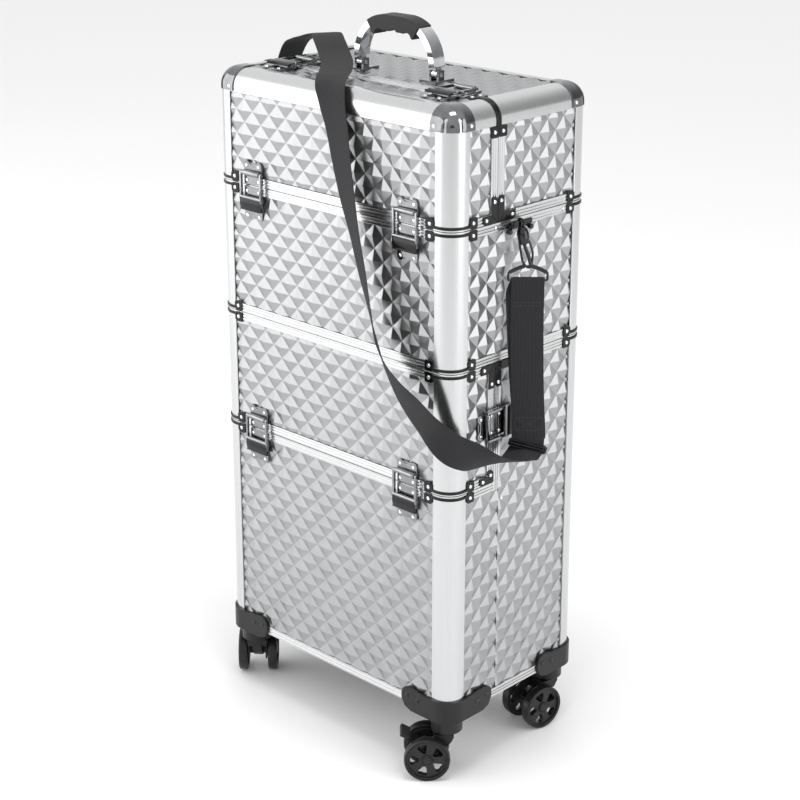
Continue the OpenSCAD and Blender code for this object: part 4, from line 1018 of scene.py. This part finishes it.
def make_latches():
    sides = (1, -1)
    low, high = ([on_front(s, z) for s in sides] for z in (Z_COVER, Z_LID))
    flanks, tops = [on_side(s) for s in sides], [on_top(s) for s in sides]
    latch_piece("lower_hinge_plates", "lower_cover", "lower_latch_plates", (hinge_plate, low + flanks))
    latch_piece("lower_catch_plates_fine", "lower_case", "lower_catch_plates", (catch_plate, low + flanks))
    latch_piece("upper_hinge_plates", "upper_cover", "upper_latch_plates", (hinge_plate, high), (catch_plate, tops))
    latch_piece("upper_catch_plates_fine", "upper_case", "upper_catch_plates", (catch_plate, high))
    latch_piece("lid_hinge_plates", "rear_lid", "lid_clasp_plates", (hinge_plate, tops))
    for k, side in ((1, "left"), (0, "right")):
        for name, body, node, places in (
            ("lower", "lower_lever_", "lower_latch_", low), ("side", "side_lever_", "side_latch_", flanks),
            ("upper", "upper_lever_", "upper_latch_", high), ("clasp", "clasp_", "top_clasp_", tops),
        ):
            latch_piece(name + "_lever_frame_" + side, body + side, node + side, (lever_frame, [places[k]]))


# The shoulder strap

# Its route from ring to ring: the middle in millimetres and the way of its width
ROUTE = [
    (216, -14, 616, 0.72, 0.69, 0), (216, -14, 565, 0.72, 0.69, 0), (218, -14, 500, 0.72, 0.69, 0),
    (221, -14, 450, 0.72, 0.69, 0), (221, -14, 420, 0.7, 0.67, -0.2), (221, -16, 414, 0.74, 0.6, -0.3),
    (221, -26, 409, 0.9, 0.36, -0.04), (222, -44, 407, 0.96, 0.1, 0.2), (222, -66, 411, 0.91, 0, 0.41),
    (221, -88, 418, 0.72, 0, 0.69), (217, -110, 429, 0.25, 0, 0.97),
    (208, -132, 443, 0.1, 0, 1), (190, -145, 464, 0.3, -0.1, 0.95), (166, -147, 482, 0.5, -0.2, 0.8),
    (142, -147, 499, 0.7, -0.4, 0.5), (120, -146, 521, 0.7, -0.6, 0.3), (104, -145, 549, 0.7, -0.7, 0.1),
    (92, -143, 582, 0.75, -0.6, 0), (78, -141, 624, 0.85, -0.5, 0), (64, -139, 667, 0.9, -0.45, 0),
    (50, -136, 707, 0.95, -0.3, 0), (38, -133, 746, 0.97, -0.2, 0), (28, -129, 778, 1, -0.1, 0),
    (17, -125, 804, 1, 0, 0), (6, -117, 823, 0.98, 0.15, 0), (-6, -103, 831, 0.93, 0.33, 0),
    (-20, -84, 834, 0.84, 0.52, 0), (-40, -62, 838, 0.72, 0.68, 0), (-66, -42, 845, 0.6, 0.8, 0),
    (-90, -26, 854, 0.55, 0.83, 0), (-110, -12, 858, 0.52, 0.85, 0), (-132, 0, 854, 0.48, 0.87, 0),
    (-156, 12, 848, 0.4, 0.9, 0), (-180, 20, 842, 0.3, 0.95, 0), (-200, 24, 834, 0.2, 0.97, 0),
    (-212, 24, 817, 0.1, 1, 0), (-217, 18, 790, 0, 1, 0), (-216, 3, 766, 0, 1, 0),
    (-214, -12, 745, 0, 1, 0)]
# Its size, the steps from one row of the route to the next, and the count of steps that hang down straight
STRAP_W, STRAP_T, FINE = 0.038, 0.0016, 8
HANGING = 4 * FINE + 1


def spline(values, t):
    """A smooth curve through the values, at t from 0 to the last index."""
    last = len(values) - 1
    k = min(int(t), last - 1)
    u = t - k
    p = [values[max(0, min(last, k + d))] for d in (-1, 0, 1, 2)]
    return 0.5 * ((2 * p[1]) + (p[2] - p[0]) * u + (2 * p[0] - 5 * p[1] + 4 * p[2] - p[3]) * u * u
                  + (3 * p[1] - p[0] - 3 * p[2] + p[3]) * u ** 3)


def strap_frames():
    """Centre, width direction, face direction and length so far at each fine step of the strap."""
    middles = [Vector(r[:3]) / 1000 + PLACE for r in ROUTE]
    widths = [Vector(r[3:]).normalized() for r in ROUTE]
    count = (len(ROUTE) - 1) * FINE
    points = [spline(middles, k / FINE) for k in range(count + 1)]
    rows = []
    for k, p in enumerate(points):
        way = (points[min(k + 1, count)] - points[max(k - 1, 0)]).normalized()
        face = way.cross(spline(widths, k / FINE)).normalized()
        rows.append((p, face.cross(way).normalized(), face))
    return with_length(rows)


def strap_piece(name, rows, bends=None):
    """A length of webbing with a flattened oval section, and its own UV map in metres."""
    half, thick, across = STRAP_W / 2, STRAP_T / 2, 10
    section = [(x, thick * (1 - 0.55 * abs(x / half) ** 8))
               for x in (-half + STRAP_W * k / across for k in range(across + 1))]
    section += [(x, -e) for x, e in reversed(section)]
    bm = bmesh.new()
    uv = bm.loops.layers.uv.new("weave")
    rings = [[bm.verts.new(p + side * x + face * y) for x, y in section] for p, side, face, _ in rows]
    join_rings(bm, rings)
    at = {vert: (x + half, row[3]) for ring, row in zip(rings, rows) for vert, (x, _) in zip(ring, section)}
    for loop in (loop for face in bm.faces if len(face.verts) == 4 for loop in face.loops):
        loop[uv].uv = at[loop.vert]
    obj = recalc(to_object(name, bm, WEBBING, 60))
    if bends:
        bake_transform(obj)
    else:
        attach(obj, "upper_case")
    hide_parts("strap_webbing")


# Where the strap is doubled: half the distance of its layers, and the radius of its bend round the ring's bar
LAYER, BAR_R = 0.001, 0.0029


def layer_off(z, foot, head):
    """How far a layer stands off the middle of the strap at height z between its foot and the ring's bar."""
    grow = max(0.0, min(1.0, (z - foot + 0.012) / 0.012))
    near = max(0.0, min(1.0, (z - head + 0.03) / 0.03))
    return LAYER * grow + (BAR_R - LAYER) * near * near * (3 - 2 * near)


def with_length(path):
    """The same rows, each with the length so far."""
    made, length = [], 0.0
    for k, (p, side, face) in enumerate(path):
        if k:
            length += (p - path[k - 1][0]).length
        made.append((p, side, face, length))
    return made


def doubled(rows):
    """The hanging end: up behind from its stitched foot, over the ring's bar, and down in front."""
    foot, head, up = 0.425, rows[0][0].z, Vector((0, 0, 1))
    out, wide = Vector((0.69, -0.72, 0)).normalized(), Vector((0.72, 0.69, 0)).normalized()
    hang = rows[:HANGING]
    front = [(p + f * (layer_off(p.z, foot, head) if k < HANGING else 0), side, f)
             for k, (p, side, f, _) in enumerate(rows)]
    back, steps = [], 36
    for k in range(steps + 1):
        z = foot + (head - foot) * k / steps
        low = min(hang, key=lambda r: abs(r[0].z - z))[0]
        aside = min(1.0, (head - z) / 0.014) * (0.0062 - 0.0076 * (head - z) / (head - foot))
        back.append((Vector((low.x, low.y, z)) - out * layer_off(z, foot, head) - wide * aside, wide, -out))
    bend = []
    for t in (math.pi * k / 10 for k in range(1, 10)):
        way = out * math.sin(t) + up * math.cos(t)
        bend.append((rows[0][0] + BAR_R * (up * math.sin(t) - out * math.cos(t)), wide, way.cross(wide)))
    return with_length(back + bend + front)


def stitch_row(a, b, facing):
    """Stitches of about 3.2 mm from one point to another."""
    count = max(1, round((b - a).length / 0.0032))
    return [(a.lerp(b, (k + 0.5) / count), facing, b - a) for k in range(count)]


def make_stitches(rows):
    """Thread across the hanging end and a box with a cross at its foot."""
    stitch = head_shape("stitch_head", [(0, -0.4), (0.35, -0.36), (0.7, -0.2), (0.95, 0.0), (0.85, 0.25), (0.5, 0.42),
                                        (0, 0.5)], 8, (0.0012, 0.00042, 0.0007))
    places = []

    def spot(z, u):
        p, side, face, _ = min(rows[:HANGING], key=lambda r: abs(r[0].z - z))
        off = layer_off(z, 0.432, rows[0][0].z) + STRAP_T / 2
        return Vector((p.x, p.y, z)) + face * off + side * u, face

    w, foot, above = 0.0155, 0.436, 0.452
    for z0, u0, z1, u1 in ((0.586, -w, 0.586, w), (0.59, -w, 0.59, w), (foot, -w, foot, w), (above, -w, above, w),
                           (foot, -w, above, -w), (foot, w, above, w), (foot, -w, above, w), (foot, w, above, -w)):
        (a, facing), (b, _) = spot(z0, u0), spot(z1, u1)
        places += stitch_row(a, b, facing)
    set_heads("strap_stitches", "upper_case", stitch, places, THREAD)
    for k in (25, 27):
        p, side, face, _ = rows[k * FINE + 4]
        row = stitch_row(p + side * -w + face * 0.0009, p + side * w + face * 0.0009, face)
        set_heads("strap_cross_stitches_" + str(k), "upper_case", stitch, row, THREAD)
    bpy.data.objects.remove(stitch)


def rounded_path(points, r, y=0.0, steps=5):
    """A closed path through (x, z) points at a local y, its corners rounded to about r."""
    points, out = [Vector((x, y, z)) for x, z in points], []
    for before, p, after in zip(points[-1:] + points, points, points[1:] + points[:1]):
        a, b = before - p, after - p
        start, end = (p + way.normalized() * min(r, way.length * 0.45) for way in (a, b))
        for t in (i / steps for i in range(steps + 1)):
            out.append(start * (1 - t) ** 2 + p * 2 * t * (1 - t) + end * t * t)
    return out


def eye_bracket(bm, where):
    """A flat bar held off the rim by two arms with a knob on each; local X points out, Y along the side."""
    add_box(bm, (0, -0.0135, -0.0065), (0.0012, 0.0135, 0.0025), where)
    add_box(bm, (0.0088, -0.0155, 0.0005), (0.0118, 0.0155, 0.0056), where)
    for s in (-1, 1):
        y = s * 0.015
        arm = [(0.0008, y * 0.75, -0.002), (0.004, y, -0.004), (0.008, y, -0.001), (0.01, y, 0.0015)]
        add_tube(bm, arm, 0.0018, 12, False, where)
        knob = moved(0.0065, y * 1.22, -0.0058) @ ACROSS
        add_lathe(bm, [(0, -0.0035), (0.002, -0.0035), (0.003, -0.0024), (0.0032, 0), (0.003, 0.0024),
                       (0.002, 0.0035), (0, 0.0035)], where @ knob, 18)
        head = moved(0.0012, s * 0.0085, -0.0045) @ ACROSS
        add_lathe(bm, [(0, 0), (0.0021, 0), (0.0019, 0.0007), (0.0011, 0.0011), (0, 0.0012)], where @ head, 14)


# A snap hook's length from the eye bar to the ring, the ring's height, its turn, and the bracket's middle
HOOK_L, RING_H, RING_TURN, EYE = 0.0455, 0.0165, 44, (HALF_W, -0.0125, 0.6785)


def snap_hook(bm, eye, wide):
    """The hook's link, head, wire loop and gate; local Z runs up from the ring to the eye bar at the origin."""
    link = [(0.0042 * math.cos(a), 0, 0.005 * math.sin(a) - 0.0004) for a in circle(20)]
    add_tube(bm, link, 0.0013, 10, True, eye)
    add_lathe(bm, [(0, -0.0046), (0.0042, -0.0048), (0.005, -0.0062), (0.0062, -0.008), (0.0068, -0.011),
                   (0.0072, -0.0112), (0.0072, -0.0122), (0.0068, -0.0124), (0.0068, -0.016), (0.0061, -0.0195),
                   (0.0045, -0.0222), (0.002, -0.0232), (0, -0.0232)], wide, 24)
    low = -HOOK_L - 0.0016
    loop = rounded_path([(-0.0056, -0.017), (-0.0056, low + 0.007), (-0.0016, low), (0.003, low),
                         (0.0068, low + 0.01), (0.0078, -0.031), (0.005, -0.017)], 0.0035)
    add_tube(bm, loop, 0.0013, 10, True, wide)
    gate = [(-0.0006, 0, -0.02), (0.0004, 0, -0.027), (0.0024, 0, -0.036), (0.0032, 0, low + 0.001)]
    add_tube(bm, gate, 0.0021, 12, False, wide)


def d_ring(bm, where):
    """The ring above the webbing: a straight bar, two short upright legs and two thicker sloping arms."""
    half, leg, top = STRAP_W / 2 + 0.0032, 0.009, RING_H
    ring = rounded_path([(-half, 0), (half, 0), (half, leg), (0.0045, top), (-0.0045, top), (-half, leg)], 0.0018)
    add_tube(bm, ring, 0.0014, 12, True, where)
    for s in (-1, 1):
        arm = [(s * (half - 0.0012), 0, leg + 0.0002), (s * (half + 0.0045) / 2, 0, (leg + top) / 2 + 0.0004),
               (s * 0.0042, 0, top)]
        add_tube(bm, arm, 0.0023, 12, False, where)


def make_strap_fittings(rows):
    for name, side in (("right", 1), ("left", -1)):
        end = rows[0][0] if side > 0 else rows[-1][0]
        turn = turned(RING_TURN if side > 0 else 90, "Z")
        flip = Matrix.Diagonal((side, 1, side, 1))
        mirror = Matrix.Translation(PLACE) @ Matrix.Diagonal((side, 1, 1, 1)) @ Matrix.Translation(EYE)
        bar = mirror @ Vector((0.0105, -0.003, 0.003))
        apex = end + Vector((0, 0, side * RING_H))
        up = (bar - apex).normalized() * side
        tilt = Vector((0, 0, 1)).rotation_difference(up).to_matrix().to_4x4()
        bm = bmesh.new()
        eye_bracket(bm, mirror)
        piece("eye_bracket_" + name, bm, BLACK_NICKEL, "upper_case", "strap_eyes", 0.0004)
        bm = bmesh.new()
        hang = Matrix.Translation(bar) @ tilt @ flip
        scaled = Matrix.Diagonal((1, 1, (bar - apex).length / HOOK_L, 1))
        snap_hook(bm, hang, hang @ scaled @ turn)
        d_ring(bm, Matrix.Translation(end) @ flip @ turn)
        piece("strap_hook_" + name, bm, BLACK_NICKEL, "upper_case", "strap_hardware")
    bm = bmesh.new()
    spot = Matrix.Translation(PLACE + Vector((HALF_W + 0.0262, -0.014, Z_LID - 0.269)))
    where = spot @ turned(RING_TURN, "Z") @ turned(15, "Y")
    half, high = 0.021, 0.0036
    for y in (-0.0024, 0.0024):
        loop = rounded_path([(-half, -high), (half, -high), (half, high), (-half, high)], 0.0025, y)
        add_tube(bm, loop, 0.0012, 10, True, where)
    for x in (-half, half):
        add_tube(bm, [(x, 0, -high), (x, 0, 0), (x, 0, high)], 0.0022, 12, False, where)
    add_tube(bm, [(-half, -0.0025, 0), (0, -0.0027, 0), (half, -0.0025, 0)], 0.0016, 10, False, where)
    piece("strap_slider", bm, BLACK_METAL, "upper_case", "strap_hardware")


def make_strap():
    rows = strap_frames()

    def cut(a, b):
        return rows[a * FINE:b * FINE + 1]

    strap_piece("strap_hanging", doubled(cut(0, 17)))
    strap_piece("strap_front", cut(17, 23), ("upper_case", "upper_cover", (0, 0, 0.6), (0, 0, 0.7)))
    strap_piece("strap_over_edge", cut(23, 27), ("upper_cover", "upper_case", (0, -0.112, 0), (0, -0.068, 0)))
    strap_piece("strap_over_lid", cut(27, 33), ("upper_case", "rear_lid", (-0.04, 0, 0), (-0.1, 0, 0)))
    strap_piece("strap_left_edge", cut(33, 38), ("rear_lid", "upper_case", (0, 0, 0.83), (0, 0, 0.75)))
    make_stitches(rows)
    make_strap_fittings(rows)


make_camera()
make_studio()
make_boards()
make_corner_fittings()
make_refined()
make_wheels()
make_forks()
make_latches()
make_strap()
